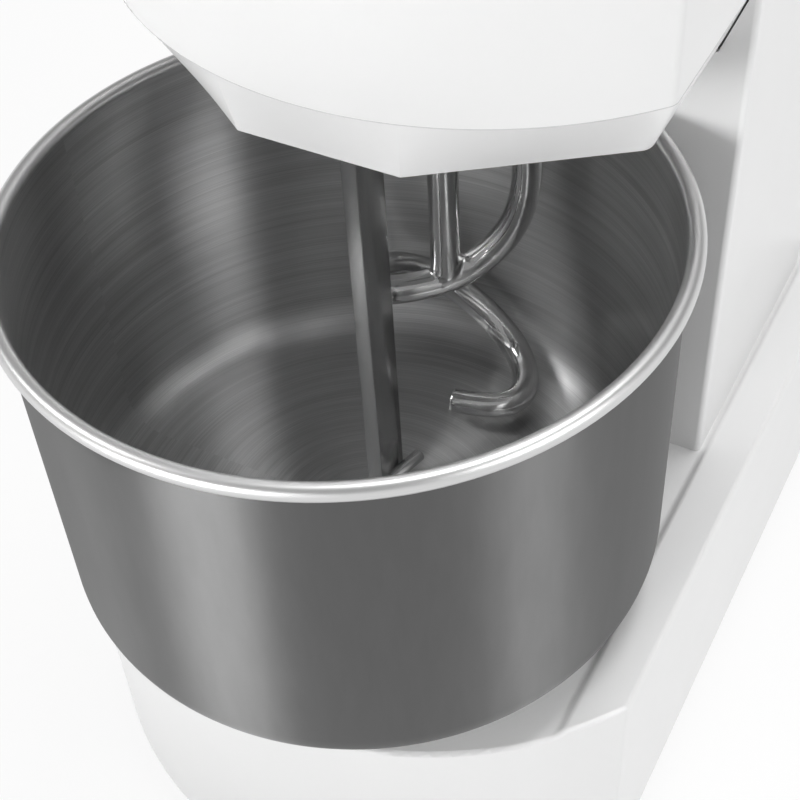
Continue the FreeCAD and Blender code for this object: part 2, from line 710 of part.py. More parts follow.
def make_power_inlet():
    body = new_body("power_inlet")
    middle_z = "(deck_z + inlet_lift)"
    flange = new_sketch(body, "XZ_Plane", "-column_rear_y")
    outline(flange, rounded_rectangle(
        "inlet_offset - inlet_width / 2 - inlet_rim", "inlet_offset + inlet_width / 2 + inlet_rim",
        middle_z + " - inlet_height / 2 - inlet_rim", middle_z + " + inlet_height / 2 + inlet_rim", "inlet_rim"))
    pad(body, flange, "inlet_rim / 2", reverse=True)
    block = new_sketch(body, "XZ_Plane", "-column_rear_y")
    outline(block, rectangle("inlet_offset - inlet_width / 2", "inlet_offset + inlet_width / 2",
                             middle_z + " - inlet_height / 2", middle_z + " + inlet_height / 2"))
    pad(body, block, "inlet_depth")
    well = new_sketch(body, "XZ_Plane", "-column_rear_y - inlet_rim / 2")
    outline(well, rounded_rectangle(
        "inlet_offset - inlet_width / 2 + 2", "inlet_offset + inlet_width / 2 - 2",
        middle_z + " - inlet_height / 2 + 2", middle_z + " + inlet_height / 2 - 2", "3"))
    pocket(body, well, "inlet_depth - 4", reverse=True)


def make_head_rest():
    """Cross bar between the cheeks with two rubber pads under the closed head."""
    half = "(column_half - column_wall)"
    plate("rest_bridge", rectangle("-" + half, half, "bridge_y", "bridge_y + bridge_depth"),
          "skirt_z - rest_pad_height - bridge_thickness", "bridge_thickness")
    pads = []
    height = value("rest_pad_height - rest_gap")
    for side in (-1, 1):
        place = Vector(side * value("rib_spacing / 2"), value("bridge_y + bridge_depth / 2"),
                       value("skirt_z - rest_pad_height"))
        pads.append(Part.makeCylinder(value("bridge_depth / 2 - 4"), height, place))
    group("head_rest_pads", pads)


def make_hinge():
    pin = new_body("hinge_pin")
    section = new_sketch(pin, "YZ_Plane")
    circle(section, "hinge_y", "hinge_z", "hinge_pin_radius")
    pad(pin, section, "column_width", both=True)
    caps = []
    for side in (-1, 1):
        cap = Part.makeCylinder(value("cap_radius"), value("cap_thickness"))
        cap = cap.makeFillet(value("cap_thickness") * 0.5, [cap.Edges[0]])
        cap.Placement = Placement(Vector(side * value("column_half"), value("hinge_y"), value("hinge_z")),
                                  Rotation(Vector(0, 0, 1), Vector(side, 0, 0)))
        caps.append(cap)
    group("hinge_caps", caps)


def make_lock():
    """Push knob with a plain pin beside the hinge. It is drawn parked, clear of the head."""
    bush = turned("lock_bush", [
        ("lock_pin_radius + running_fit", "0"),
        ("lock_pin_radius + lock_bush_wall", "0"),
        ("lock_pin_radius + lock_bush_wall", "lock_bush_length"),
        ("lock_pin_radius + running_fit", "lock_bush_length"),
    ], "-column_half - lock_bush_length", "lock_y", "lock_z")
    bush.Placement.Rotation = Rotation(Vector(0, 1, 0), 90)
    knob_end = "lock_knob_length"
    pin_end = "lock_knob_length + lock_travel + 1 + lock_bush_length + column_wall - free_gap"
    pin = turned("lock_pin", [
        ("0", "0"),
        ("lock_knob_radius - 1.5", "0"),
        ("lock_knob_radius", "1.5"),
        ("lock_knob_radius", "lock_knob_length - 2.5"),
        ("lock_pin_radius + 1.5", knob_end),
        ("lock_pin_radius", knob_end),
        ("lock_pin_radius", pin_end + " - 1"),
        ("lock_pin_radius - 1", pin_end),
        ("0", pin_end),
    ], "-column_half - lock_bush_length - lock_travel - 1 - lock_knob_length", "lock_y", "lock_z")
    pin.Placement.Rotation = Rotation(Vector(0, 1, 0), 90)


# drives

def bearing(label, shaft, outer, x, y, z):
    """Ball bearing: two rings with a shallow groove between them on each face."""
    bore = "(%s + running_fit)" % shaft
    rim = "(%s - running_fit)" % outer
    step = "(%s - %s) / 3" % (rim, bore)
    turned(label, [
        (bore, "0"), (bore + " + " + step, "0"), (bore + " + " + step, "1.5"),
        (rim + " - " + step, "1.5"), (rim + " - " + step, "0"), (rim, "0"),
        (rim, "bearing_height"), (rim + " - " + step, "bearing_height"),
        (rim + " - " + step, "bearing_height - 1.5"), (bore + " + " + step, "bearing_height - 1.5"),
        (bore + " + " + step, "bearing_height"), (bore, "bearing_height"),
    ], x, y, z)


def big_pulley(label, seat, shaft, x, y, z):
    """Flat-belt pulley with a hub, a thin web with lightening holes and two lips."""
    bore = "(%s + running_fit)" % shaft
    hub = "(%s + 10)" % shaft
    inside = "(%s - 5)" % seat
    lip = "(%s + pulley_lip)" % seat
    body = turned(label, [
        (bore, "0"), (hub, "0"), (hub, "pulley_height / 2 - 3"), (inside, "pulley_height / 2 - 3"),
        (inside, "0"), (lip, "0"), (lip, "2.5"), (seat, "2.5"), (seat, "pulley_height - 2.5"),
        (lip, "pulley_height - 2.5"), (lip, "pulley_height"), (inside, "pulley_height"),
        (inside, "pulley_height / 2 + 3"), (hub, "pulley_height / 2 + 3"), (hub, "pulley_height"),
        (bore, "pulley_height"),
    ], x, y, z)
    middle = "((%s + %s) / 2)" % (hub, inside)
    width = "((%s - %s) / 2 - 7)" % (inside, hub)
    holes = [("%s * %.6f" % (middle, math.cos(math.radians(72 * turn))),
              "%s * %.6f" % (middle, math.sin(math.radians(72 * turn))), width) for turn in range(5)]
    drill(body, "XY_Plane", holes, reverse=True)


def small_pulley(label, x, y, z):
    bore = "(motor_shaft_radius + running_fit)"
    lip = "(small_pulley_radius + pulley_lip)"
    turned(label, [
        (bore, "0"), (lip, "0"), (lip, "2.5"), ("small_pulley_radius", "2.5"),
        ("small_pulley_radius", "pulley_height - 2.5"), (lip, "pulley_height - 2.5"),
        (lip, "pulley_height"), (bore, "pulley_height"),
    ], x, y, z)


def belt_loop(seat, front_y, rear_y, grow):
    """Loop over a big pulley in front and a small one behind it."""
    big = "(%s + %s)" % (seat, grow)
    small = "(small_pulley_radius + %s)" % grow
    lean = "((%s - small_pulley_radius) / (%s - %s))" % (seat, rear_y, front_y)
    wide = "sqrt(1 - %s ^ 2)" % lean
    return [
        ("0", "%s - %s" % (front_y, big), big, "left"),
        ("%s * %s" % (big, wide), "%s + %s * %s" % (front_y, big, lean), big, "left"),
        ("%s * %s" % (small, wide), "%s + %s * %s" % (rear_y, small, lean)),
        ("0", "%s + %s" % (rear_y, small), small, "left"),
        ("-%s * %s" % (small, wide), "%s + %s * %s" % (rear_y, small, lean), small, "left"),
        ("-%s * %s" % (big, wide), "%s + %s * %s" % (front_y, big, lean)),
    ]


def belt(label, seat, front_y, rear_y, pulley_z):
    body = new_body(label)
    sketch = new_sketch(body, "XY_Plane", pulley_z + " + pulley_height / 2 - belt_width / 2")
    outline(sketch, belt_loop(seat, front_y, rear_y, "(belt_play + belt_thickness)"))
    outline(sketch, belt_loop(seat, front_y, rear_y, "belt_play"))
    pad(body, sketch, "belt_width")


def make_bowl():
    bead = "bowl_depth"
    ring = "bead_ring_radius"
    top = "(bowl_depth - sqrt(bead_radius ^ 2 - (bead_ring_radius - bowl_radius) ^ 2))"
    inner_top = "(bowl_depth - sqrt(bead_radius ^ 2 - (bead_ring_radius - bowl_radius + bowl_wall) ^ 2))"
    turned("bowl", [
        ("0", "0"),
        ("bowl_radius - bowl_corner", "0"),
        ("bowl_radius", "bowl_corner", "bowl_corner", "left"),
        ("bowl_radius", top),
        ("%s + bead_radius" % ring, bead, "bead_radius", "left"),
        (ring, "%s + bead_radius" % bead, "bead_radius", "left"),
        ("%s - bead_radius" % ring, bead, "bead_radius", "left"),
        ("bowl_radius - bowl_wall", inner_top, "bead_radius", "left"),
        ("bowl_radius - bowl_wall", "bowl_corner"),
        ("bowl_radius - bowl_corner", "bowl_wall", "bowl_corner - bowl_wall", "right"),
        ("0", "bowl_wall"),
    ], "0", "bowl_y", "bowl_z")


def make_bowl_drive():
    shaft = "bowl_shaft_radius"
    turned("bowl_hub", [
        (shaft + " + running_fit", "3 - bowl_lift"),
        (shaft + " + 12", "3 - bowl_lift"),
        (shaft + " + 12", "-flange_thickness - 4"),
        (shaft + " + 16", "-flange_thickness", "4", "right"),
        ("hub_radius", "-flange_thickness"),
        ("hub_radius", "0"),
        ("0", "0"),
        ("0", "-4"),
        (shaft + " + running_fit", "-4"),
    ], "0", "bowl_y", "bowl_z")
    turned("bowl_shaft", [
        ("0", "0"),
        (shaft + " - 1.5", "0"),
        (shaft, "1.5"),
        (shaft, "bowl_z - 4 - bowl_pulley_z + 4"),
        ("0", "bowl_z - 4 - bowl_pulley_z + 4"),
    ], "0", "bowl_y", "bowl_pulley_z - 4")
    big_pulley("bowl_pulley", "bowl_pulley_radius", shaft, "0", "bowl_y", "bowl_pulley_z")
    wall = "(bowl_bearing_radius + housing_wall)"
    seat = "bowl_bearing_radius"
    middle = "(bowl_bearing_radius - 6)"
    turned("bowl_bearing_housing", [
        (seat, "0"), (wall, "0"), (wall, "bowl_housing_height - flange_thickness"),
        (wall + " + housing_flange", "bowl_housing_height - flange_thickness"),
        (wall + " + housing_flange", "bowl_housing_height"),
        (seat, "bowl_housing_height"), (seat, "bowl_housing_height - bearing_height"),
        (middle, "bowl_housing_height - bearing_height"), (middle, "bearing_height"),
        (seat, "bearing_height"),
    ], "0", "bowl_y", "deck_z - base_wall - bowl_housing_height")
    low = "deck_z - base_wall - bowl_housing_height"
    bearing("bowl_bearing_lower", shaft, seat, "0", "bowl_y", low)
    bearing("bowl_bearing_upper", shaft, seat, "0", "bowl_y", "deck_z - base_wall - bearing_height")
    belt("bowl_belt", "bowl_pulley_radius", "bowl_y", "motor_y", "bowl_pulley_z")


def make_bowl_motor():
    half = "(bowl_motor_radius + 8)"
    plate("bowl_motor_plate", rectangle("-" + half, half, "motor_y - bowl_motor_radius - 5", "motor_y + " + half),
          "deck_z", "motor_plate_thickness", [("0", "motor_y", "motor_nose_radius + free_gap")])
    shaft = "motor_shaft_radius"
    nose_low = "(bowl_pulley_z + pulley_height + 36 - deck_z - motor_plate_thickness)"
    turned("bowl_motor", [
        ("0", nose_low + " + 24"),
        (shaft + " + running_fit", nose_low + " + 24"),
        (shaft + " + running_fit", nose_low),
        ("motor_nose_radius - 3", nose_low),
        ("motor_nose_radius", nose_low + " + 3"),
        ("motor_nose_radius", "0"),
        ("bowl_motor_radius + 4", "0"),
        ("bowl_motor_radius + 4", "flange_thickness"),
        ("bowl_motor_radius", "flange_thickness"),
        ("bowl_motor_radius", "bowl_motor_height - 10"),
        ("bowl_motor_radius - 10", "bowl_motor_height"),
        ("0", "bowl_motor_height"),
    ], "0", "motor_y", "deck_z + motor_plate_thickness")
    turned("bowl_motor_shaft", [
        ("0", "0"), (shaft, "0"), (shaft, "pulley_height + 36 + 4 + 20"), ("0", "pulley_height + 36 + 4 + 20"),
    ], "0", "motor_y", "bowl_pulley_z - 4")
    small_pulley("bowl_motor_pulley", "0", "motor_y", "bowl_pulley_z")
    inner = "(column_half - column_wall)"
    box = new_body("control_box")
    face = new_sketch(box, "XZ_Plane", "-motor_y + 36")
    outline(face, rounded_rectangle("-" + inner, "-%s + 42" % inner, "deck_z + 84", "deck_z + 208", "6"))
    pad(box, face, "100", reverse=True)


# head

def make_head_shell():
    """Hood with a bowed front, a rounded top edge and a barrel about the hinge axis."""
    def hood(label, inset, lift, reach):
        rear = "head_rear_y - (%s)" % inset
        body = plate(label, head_outline(inset, rear), "hinge_z - barrel_radius + (%s)" % inset,
                     "head_top_z - hinge_z + barrel_radius - 2 * (%s)" % inset)
        round_edges(body, "head_rear_corner - (%s)" % inset,
                    lambda edge: edge_is_vertical(edge) and edge.BoundBox.YMin > value("hinge_y"))
        under = new_sketch(body, "YZ_Plane")
        barrel = "(barrel_radius - (%s))" % inset
        lip_y = "hinge_y - sqrt(%s ^ 2 - (seam_z - hinge_z) ^ 2)" % barrel
        edge_points = [("head_front_y - 20", "seam_z - (%s)" % lift)]
        if reach:
            edge_points += [(reach, "seam_z - (%s)" % lift), (reach, "seam_z")]
        edge_points += [
            (lip_y, "seam_z"),
            ("hinge_y - " + barrel, "hinge_z", barrel, "left"),
            ("hinge_y", "hinge_z - " + barrel, barrel, "left"),
            ("hinge_y + " + barrel, "hinge_z", barrel, "left"),
            ("hinge_y + barrel_radius + 20", "hinge_z"),
            ("hinge_y + barrel_radius + 20", "hinge_z - barrel_radius - 20"),
            ("head_front_y - 20", "hinge_z - barrel_radius - 20"),
        ]
        outline(under, edge_points)
        pocket(body, under, both=True)
        top = value("head_top_z - (%s)" % inset)
        round_edges(body, "head_top_round - (%s)" % inset, lambda edge: edge_lies_at(edge, top))
        return body

    outside = hood("head_outside", "0", "0", "")
    panel_holes(outside)
    drill(outside, "YZ_Plane", [("hinge_y", "hinge_z", "hinge_pin_radius + free_gap")], both=True)
    turned_back = "(lock_angle - lock_raised_angle)"
    drill(outside, "YZ_Plane", [
        ("lock_y", "lock_z", "lock_pin_radius + free_gap"),
        ("hinge_y - lock_reach * cos(%s * 1 deg)" % turned_back,
         "hinge_z + lock_reach * sin(%s * 1 deg)" % turned_back, "lock_pin_radius + free_gap"),
    ])
    inside = hood("head_inside", "head_wall", "10", "hinge_y - barrel_radius")
    shell = doc.addObject("Part::Cut", "head_shell")
    shell.Label = "head_shell"
    shell.Base = outside
    shell.Tool = inside
    return shell


def make_skirt():
    """Faceted cover under the head: a five-sided lower edge that runs up into the bowed seam."""
    body = new_body("head_skirt")

    def lower(sketch, inset):
        half = "(skirt_half - (%s))" % inset
        front_half = "(skirt_front_width / 2 - (%s) / 3)" % inset
        front = "(skirt_front_y + (%s))" % inset
        rear = "(skirt_rear_y - (%s))" % inset
        corner = "(skirt_front_y + skirt_corner_setback + (%s) / 3)" % inset
        run = "(%s - %s)" % (half, front_half)
        rise = "(%s - %s)" % (corner, front)
        facet = "sqrt(%s ^ 2 + %s ^ 2)" % (run, rise)
        soft_x = "(%s - skirt_corner_soft * %s / %s)" % (half, run, facet)
        soft_y = "(%s - skirt_corner_soft * %s / %s)" % (corner, rise, facet)
        side_y = "(%s + skirt_corner_soft)" % corner
        soft = "(skirt_corner_soft * sqrt((%s + %s) / (%s - %s)))" % (facet, rise, facet, rise)
        outline(sketch, [(front_half, front), (soft_x, soft_y), (half, side_y, soft, "left"), (half, rear),
                         ("-" + half, rear), ("-" + half, side_y), ("-" + soft_x, soft_y, soft, "left"),
                         ("-" + front_half, front)])

    def upper(sketch, inset):
        half, bow, bow_x, bow_y, side_y = head_corner(inset)
        part = "(skirt_front_width / 2 * head_width / skirt_width)"
        front = "head_front_y + head_front_radius - sqrt(%s ^ 2 - %s ^ 2)" % (bow, part)
        rear = "(skirt_rear_y - (%s))" % inset
        round_off = "head_front_corner"
        outline(sketch, [(part, front, bow, "left"), (bow_x, bow_y, bow, "left"), (half, side_y, round_off, "left"),
                         (half, rear), ("-" + half, rear), ("-" + half, side_y),
                         ("-" + bow_x, bow_y, round_off, "left"), ("-" + part, front, bow, "left")])

    low = new_sketch(body, "XY_Plane", "skirt_z")
    lower(low, "0")
    high = new_sketch(body, "XY_Plane", "seam_z")
    upper(high, "0")
    solid = body.newObject("PartDesign::AdditiveLoft", "head_skirt_loft")
    solid.Profile = low
    solid.Sections = [high]
    solid.Ruled = True
    floor = new_sketch(body, "XY_Plane", "skirt_z + skirt_wall")
    lower(floor, "skirt_wall")
    rim = new_sketch(body, "XY_Plane", "seam_z")
    upper(rim, "skirt_wall")
    hollow = body.newObject("PartDesign::SubtractiveLoft", "head_skirt_hollow")
    hollow.Profile = floor
    hollow.Sections = [rim]
    hollow.Ruled = True
    doc.recompute()
    drill(body, "XY_Plane", [("0", "hook_y", "spindle_radius + 4 * free_gap")], "skirt_z - 1", "skirt_wall + 2",
          reverse=True)
    slot = new_sketch(body, "XY_Plane", "skirt_z - 1")
    outline(slot, rectangle("-bar_width / 2 - free_gap", "bar_width / 2 + free_gap",
                            "bar_y - bar_depth / 2 - free_gap", "bar_y + bar_depth / 2 + free_gap"))
    pocket(body, slot, "skirt_wall + 2", reverse=True)


def make_chassis():
    """Plate inside the head with two ribs that hang on the hinge pin."""
    inset = "head_wall + chassis_play"
    body = plate("head_chassis", head_outline(inset, "head_rear_y - (%s)" % inset), "seam_z", "chassis_thickness",
                 [("0", "hook_y", "spindle_bearing_radius + housing_wall + running_fit")])
    round_edges(body, "head_rear_corner - head_wall",
                lambda edge: edge_is_vertical(edge) and edge.BoundBox.YMin > value("hinge_y"))
    slot = new_sketch(body, "XY_Plane", "seam_z - 1")
    outline(slot, rectangle("-bar_width / 2 - free_gap", "bar_width / 2 + free_gap",
                            "bar_y - bar_depth / 2 - free_gap", "bar_y + bar_depth / 2 + free_gap"))
    pocket(body, slot, "chassis_thickness + 2", reverse=True)
    eye = "(hinge_pin_radius + bush_wall + 6)"
    for side in ("-", ""):
        rib = new_sketch(body, "YZ_Plane", side + "rib_spacing / 2")
        outline(rib, [("hinge_y + " + eye, "hinge_z"), ("hinge_y + " + eye, "seam_z + 1"),
                      ("hinge_y - " + eye, "seam_z + 1"), ("hinge_y - " + eye, "hinge_z"),
                      ("hinge_y", "hinge_z - " + eye, eye, "left"),
                      ("hinge_y + " + eye, "hinge_z", eye, "left")][1:])
        circle(rib, "hinge_y", "hinge_z", "hinge_pin_radius + 2 * running_fit + bush_wall")
        pad(body, rib, "rib_thickness", both=True)
    bushes = []
    for side in (-1, 1):
        place = Vector(side * value("rib_spacing / 2") - value("rib_thickness / 2"), value("hinge_y"), value("hinge_z"))
        ring = Part.makeCylinder(value("hinge_pin_radius + running_fit + bush_wall"), value("rib_thickness"),
                                 place, Vector(1, 0, 0))
        bore = Part.makeCylinder(value("hinge_pin_radius + running_fit"), value("rib_thickness"),
                                 place, Vector(1, 0, 0))
        bushes.append(ring.cut(bore))
    group("pivot_bushes", bushes)


def make_hook_drive():
    shaft = "spindle_radius"
    seat = "spindle_bearing_radius"
    wall = "(spindle_bearing_radius + housing_wall)"
    middle = "(spindle_bearing_radius - 6)"
    foot = "(skirt_wall + free_gap - skirt_height - chassis_thickness)"
    shoulder = foot + " + seal_thickness + bearing_height"
    top = "spindle_housing_height"
    turned("hook_bearing_housing", [
        (seat, foot), (wall, foot), (wall, "0"), (wall + " + housing_flange", "0"),
        (wall + " + housing_flange", "flange_thickness"), (wall, "flange_thickness"), (wall, top), (seat, top),
        (seat, top + " - bearing_height"), (middle, top + " - bearing_height"), (middle, shoulder),
        (seat, shoulder),
    ], "0", "hook_y", "chassis_z")
    bearing("hook_bearing_lower", shaft, seat, "0", "hook_y", "chassis_z + %s + seal_thickness" % foot)
    bearing("hook_bearing_upper", shaft, seat, "0", "hook_y", "chassis_z + %s - bearing_height" % top)
    turned("hook_seal", [
        (shaft + " + free_gap", "0"), (seat + " - running_fit", "0"),
        (seat + " - running_fit", "seal_thickness"), (shaft + " + free_gap", "seal_thickness"),
    ], "0", "hook_y", "chassis_z + " + foot)
    tail = "spindle_end_z - chassis_z"
    pulley = "hook_pulley_lift"
    bore = "hook_shaft_radius + running_fit"
    spindle = turned("hook_spindle", [
        (bore, tail), (shaft + " - 1.5", tail), (shaft, tail + " + 1.5"),
        (shaft, pulley + " - 2"), (shaft + " - 3", pulley + " - 2"),
        (shaft + " - 3", pulley + " + pulley_height + 6"), ("0", pulley + " + pulley_height + 6"),
        ("0", tail + " + spindle_tail + 20"), (bore, tail + " + spindle_tail + 20"),
    ], "0", "hook_y", "chassis_z")
    drill(spindle, "YZ_Plane", [("0", tail + " + spindle_tail * 0.4", "cross_pin_radius + running_fit")], both=True)
    big_pulley("hook_pulley", "hook_pulley_radius", "(spindle_radius - 3)", "0", "hook_y", "hook_pulley_z")
    turned("hook_pulley_nut", [
        (shaft + " - 3 + running_fit", "0"), (shaft + " + 5", "0"), (shaft + " + 5", "4"),
        (shaft + " + 4", "5"), (shaft + " - 3 + running_fit", "5"),
    ], "0", "hook_y", "hook_pulley_z + pulley_height")
    cross = new_body("hook_cross_pin", "0", "hook_y", "chassis_z")
    section = new_sketch(cross, "YZ_Plane")
    circle(section, "0", tail + " + spindle_tail * 0.4", "cross_pin_radius")
    pad(cross, section, "2 * spindle_radius + 4", both=True)
    belt("hook_belt", "hook_pulley_radius", "hook_y", "motor_y", "hook_pulley_z")
    rotor = "motor_shaft_radius"
    motor_top = "hook_motor_height"
    turned("hook_motor", [
        ("0", "0"), ("hook_motor_radius + 6", "0"), ("hook_motor_radius + 6", "flange_thickness"),
        ("hook_motor_radius", "flange_thickness"), ("hook_motor_radius", motor_top + " - 8"),
        ("hook_motor_radius - 8", motor_top), (rotor + " + running_fit", motor_top),
        (rotor + " + running_fit", motor_top + " - 24"), ("0", motor_top + " - 24"),
    ], "0", "motor_y", "chassis_z")
    turned("hook_motor_shaft", [
        ("0", motor_top + " - 20"), (rotor, motor_top + " - 20"), (rotor, "hook_pulley_lift + pulley_height + 3"),
        ("0", "hook_pulley_lift + pulley_height + 3"),
    ], "0", "motor_y", "chassis_z")
    small_pulley("hook_motor_pulley", "0", "motor_y", "hook_pulley_z")


def rounded_course(points, share):
    """Straight runs joined by tangent arcs, each as large as its two runs allow."""
    edges = []
    start = points[0]
    length = 0.0
    for before, corner, after in zip(points, points[1:], points[2:]):
        back = before.sub(corner)
        ahead = after.sub(corner)
        reach = share * min(back.Length, ahead.Length)
        first = corner.add(back.normalize().multiply(reach))
        last = corner.add(ahead.normalize().multiply(reach))
        half_turn = (math.pi - back.getAngle(ahead)) / 2
        radius = reach / math.tan(half_turn)
        inward = first.add(last).multiply(0.5).sub(corner).normalize()
        middle = corner.add(inward.multiply(radius / math.cos(half_turn) - radius))
        edges.append(Part.LineSegment(start, first).toShape())
        edges.append(Part.Arc(first, middle, last).toShape())
        start = last
    edges.append(Part.LineSegment(start, points[-1]).toShape())
    return Part.Wire(edges)


def make_hook():
    """Straight shaft with one round rod: a loop closed against the shaft, then a coil down to the floor."""
    rod = value("hook_rod_radius")
    top = value("rim_z - hook_loop_drop")
    bottom = value("floor_z + hook_floor_gap") + rod
    axis_y = value("hook_y")
    points = []
    for reach, turn, drop in HOOK_COURSE:
        distance = reach * value("hook_reach")
        angle = math.radians(turn)
        points.append(Vector(distance * math.cos(angle), axis_y + distance * math.sin(angle),
                             top + drop * (bottom - top)))
    course = rounded_course(points, BEND_SHARE)
    section = Part.Wire([Part.Circle(points[0], points[1].sub(points[0]), rod).toShape()])
    coil = course.makePipeShell([section], True, False)
    if coil.Volume < 0:
        coil.reverse()
    expected = math.pi * rod ** 2 * course.Length
    print("hook rod: volume %.0f, section times length %.0f" % (coil.Volume, expected))
    crossing = points[6].z
    shaft_low = crossing
    shaft_top = value("skirt_z + 18")
    shaft = Part.makeCylinder(value("hook_shaft_radius"), shaft_top - shaft_low, Vector(0, axis_y, shaft_low))
    hole = Part.makeCylinder(value("cross_pin_radius + running_fit"), value("4 * hook_shaft_radius"),
                             Vector(value("-2 * hook_shaft_radius"), axis_y,
                                    value("spindle_end_z + spindle_tail * 0.4")), Vector(1, 0, 0))
    node = doc.addObject("Part::Feature", "spiral_hook")
    node.Label = "spiral_hook"
    node.Shape = coil.fuse(shaft.cut(hole)).removeSplitter()


def make_breaker_bar():
    """Flat upright bar with a rounded foot, held by a bolted clamp on the chassis plate."""
    half = "(bar_width / 2)"
    depth = "(bar_depth / 2)"
    low = "(floor_z + bar_floor_gap)"
    body = plate("breaker_bar", rectangle("-" + half, half, "bar_y - " + depth, "bar_y + " + depth), low,
                 "chassis_z + clamp_height + 2 - " + low)
    round_edges(body, "bar_width / 6", lambda edge: edge_is_vertical(edge))
    clamp = plate("bar_clamp", rectangle("-%s - clamp_wall" % half, "%s + clamp_wall" % half,
                                         "bar_y - %s - clamp_wall" % depth, "bar_y + %s + clamp_wall" % depth),
                  "chassis_z", "clamp_height")
    slot = new_sketch(clamp, "XY_Plane", "chassis_z - 1")
    outline(slot, rectangle("-%s - running_fit" % half, "%s + running_fit" % half,
                            "bar_y - %s - running_fit" % depth, "bar_y + %s + running_fit" % depth))
    pocket(clamp, slot, "clamp_height + 2", reverse=True)
    offsets = ["bar_y - %s - clamp_wall / 2" % depth, "bar_y + %s + clamp_wall / 2" % depth]
    drill(clamp, "YZ_Plane", [(y, "chassis_z + clamp_height / 2", "clamp_bolt_radius + running_fit")
                              for y in offsets], both=True)
    bolts = []
    for y in offsets:
        side = value("bar_width / 2 + clamp_wall")
        place = Vector(-side, value(y), value("chassis_z + clamp_height / 2"))
        bolt = Part.makeCylinder(value("clamp_bolt_radius"), 2 * side, place, Vector(1, 0, 0))
        head = Part.makeCylinder(value("clamp_bolt_radius") * 1.4, 5, place.add(Vector(2 * side, 0, 0)), Vector(1, 0, 0))
        bolts.append(bolt.fuse(head).removeSplitter())
    group("bar_bolts", bolts)


# controls

def knob_x(side):
    return side + "(panel_width / 2 - knob_inset)"


def button_x(side):
    return side + "button_spacing / 2"


def control_holes():
    return [(knob_x("-"), "panel_y", "knob_shaft_radius + free_gap"),
            (knob_x(""), "panel_y", "knob_shaft_radius + free_gap"),
            (button_x("-"), "panel_y", "button_radius + free_gap"),
            (button_x(""), "panel_y", "button_radius + free_gap")]


def panel_holes(body):
    drill(body, "XY_Plane", control_holes(), "head_top_z + 1", "head_wall + head_top_round")


def make_controls():
    plate("control_panel", rounded_rectangle(
        "-panel_width / 2", "panel_width / 2", "panel_y - panel_depth / 2", "panel_y + panel_depth / 2",
        "panel_corner"), "head_top_z", "panel_thickness", control_holes())
    unit_low = "head_top_z - head_wall - unit_height"
    for label, side in (("timer", "-"), ("speed", "")):
        x = knob_x(side)
        half = "unit_width / 2"
        box = plate(label + "_unit", rectangle("%s - %s" % (x, half), "%s + %s" % (x, half),
                                               "panel_y - " + half, "panel_y + " + half), unit_low, "unit_height")
        drill(box, "XY_Plane", [(x, "panel_y", "knob_shaft_radius + running_fit")], "head_top_z - head_wall",
              "unit_height - 3")
        knob = turned(label + "_knob", [
            ("0", "-panel_thickness - head_wall - unit_height + 5"),
            ("knob_shaft_radius", "-panel_thickness - head_wall - unit_height + 5"),
            ("knob_shaft_radius", "free_gap"),
            ("knob_radius", "free_gap"),
            ("knob_radius", "4"),
            ("knob_radius - 3", "5.5"),
            ("knob_radius - 4.5", "knob_height - 2"),
            ("knob_radius - 6.5", "knob_height"),
            ("0", "knob_height"),
        ], x, "panel_y", "panel_z")
        mark = new_sketch(knob, "XY_Plane", "knob_height")
        outline(mark, rectangle("-0.8", "0.8", "knob_radius * 0.25", "knob_radius - 7"))
        pocket(knob, mark, "0.8")
    block_half = "(button_spacing / 2 + button_radius + 5)"
    deep = "(button_radius + 5)"
    wells = [(button_x(side), "panel_y", "button_radius + free_gap") for side in ("-", "")]
    block = plate("switch_block", rectangle("-" + block_half, block_half, "panel_y - " + deep, "panel_y + " + deep),
                  unit_low, "unit_height")
    drill(block, "XY_Plane", wells, "head_top_z - head_wall", "button_travel + 6")
    for label, side in (("start", "-"), ("stop", "")):
        turned(label + "_bezel", [
            ("button_radius + free_gap", "0"), ("button_radius + free_gap + bezel_wall", "0"),
            ("button_radius + free_gap + bezel_wall", "bezel_height - 1"),
            ("button_radius + free_gap + bezel_wall - 1", "bezel_height"),
            ("button_radius + free_gap", "bezel_height"),
        ], button_x(side), "panel_y", "panel_z")
        turned(label + "_button", [
            ("0", "-panel_thickness - head_wall - 5"), ("button_radius", "-panel_thickness - head_wall - 5"),
            ("button_radius", "button_height - 1.5"),
            ("button_radius - 1.5", "button_height", "1.5", "left"),
            ("0", "button_height"),
        ], button_x(side), "panel_y", "panel_z")


make_base()
make_bottom()
make_column()
make_rear_cover()
make_power_inlet()
make_head_rest()
make_hinge()
make_lock()
make_bowl()
make_bowl_drive()
make_bowl_motor()
make_head_shell()
make_skirt()
make_chassis()
make_hook_drive()
make_hook()
make_breaker_bar()
make_controls()
doc.recompute()

TOOLS = {"head_outside", "head_inside"}
NODE_TYPES = ("PartDesign::Body", "Part::Cut", "Part::Feature")

for item in doc.Objects:
    if "Invalid" in item.State or "Error" in item.State:
        raise RuntimeError("%s failed: %s" % (item.Label, item.State))

nodes = [item for item in doc.Objects if item.TypeId in NODE_TYPES and item.Label not in TOOLS]
for node in nodes:
    if node.Shape.isNull() or not node.Shape.isValid() or node.Shape.Volume <= 0:
        raise RuntimeError("bad shape in " + node.Label)

os.makedirs("parts", exist_ok=True)
for node in nodes:
    node.Shape.exportStep("parts/%s.step" % node.Label)
    print("%-24s %d solids, %.0f mm3" % (node.Label, len(node.Shape.Solids), node.Shape.Volume))
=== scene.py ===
"""Finishes, fine pieces, light and camera for a counter-top spiral dough mixer.

The loaded model gives places and outer sizes. Most parts keep their solid and get a finish.
The bowl, hook, bar, controls and small fittings are modelled again in finer detail. All lengths
are in metres.
"""

import json
import math

import bmesh
import bpy
from mathutils import Matrix, Vector


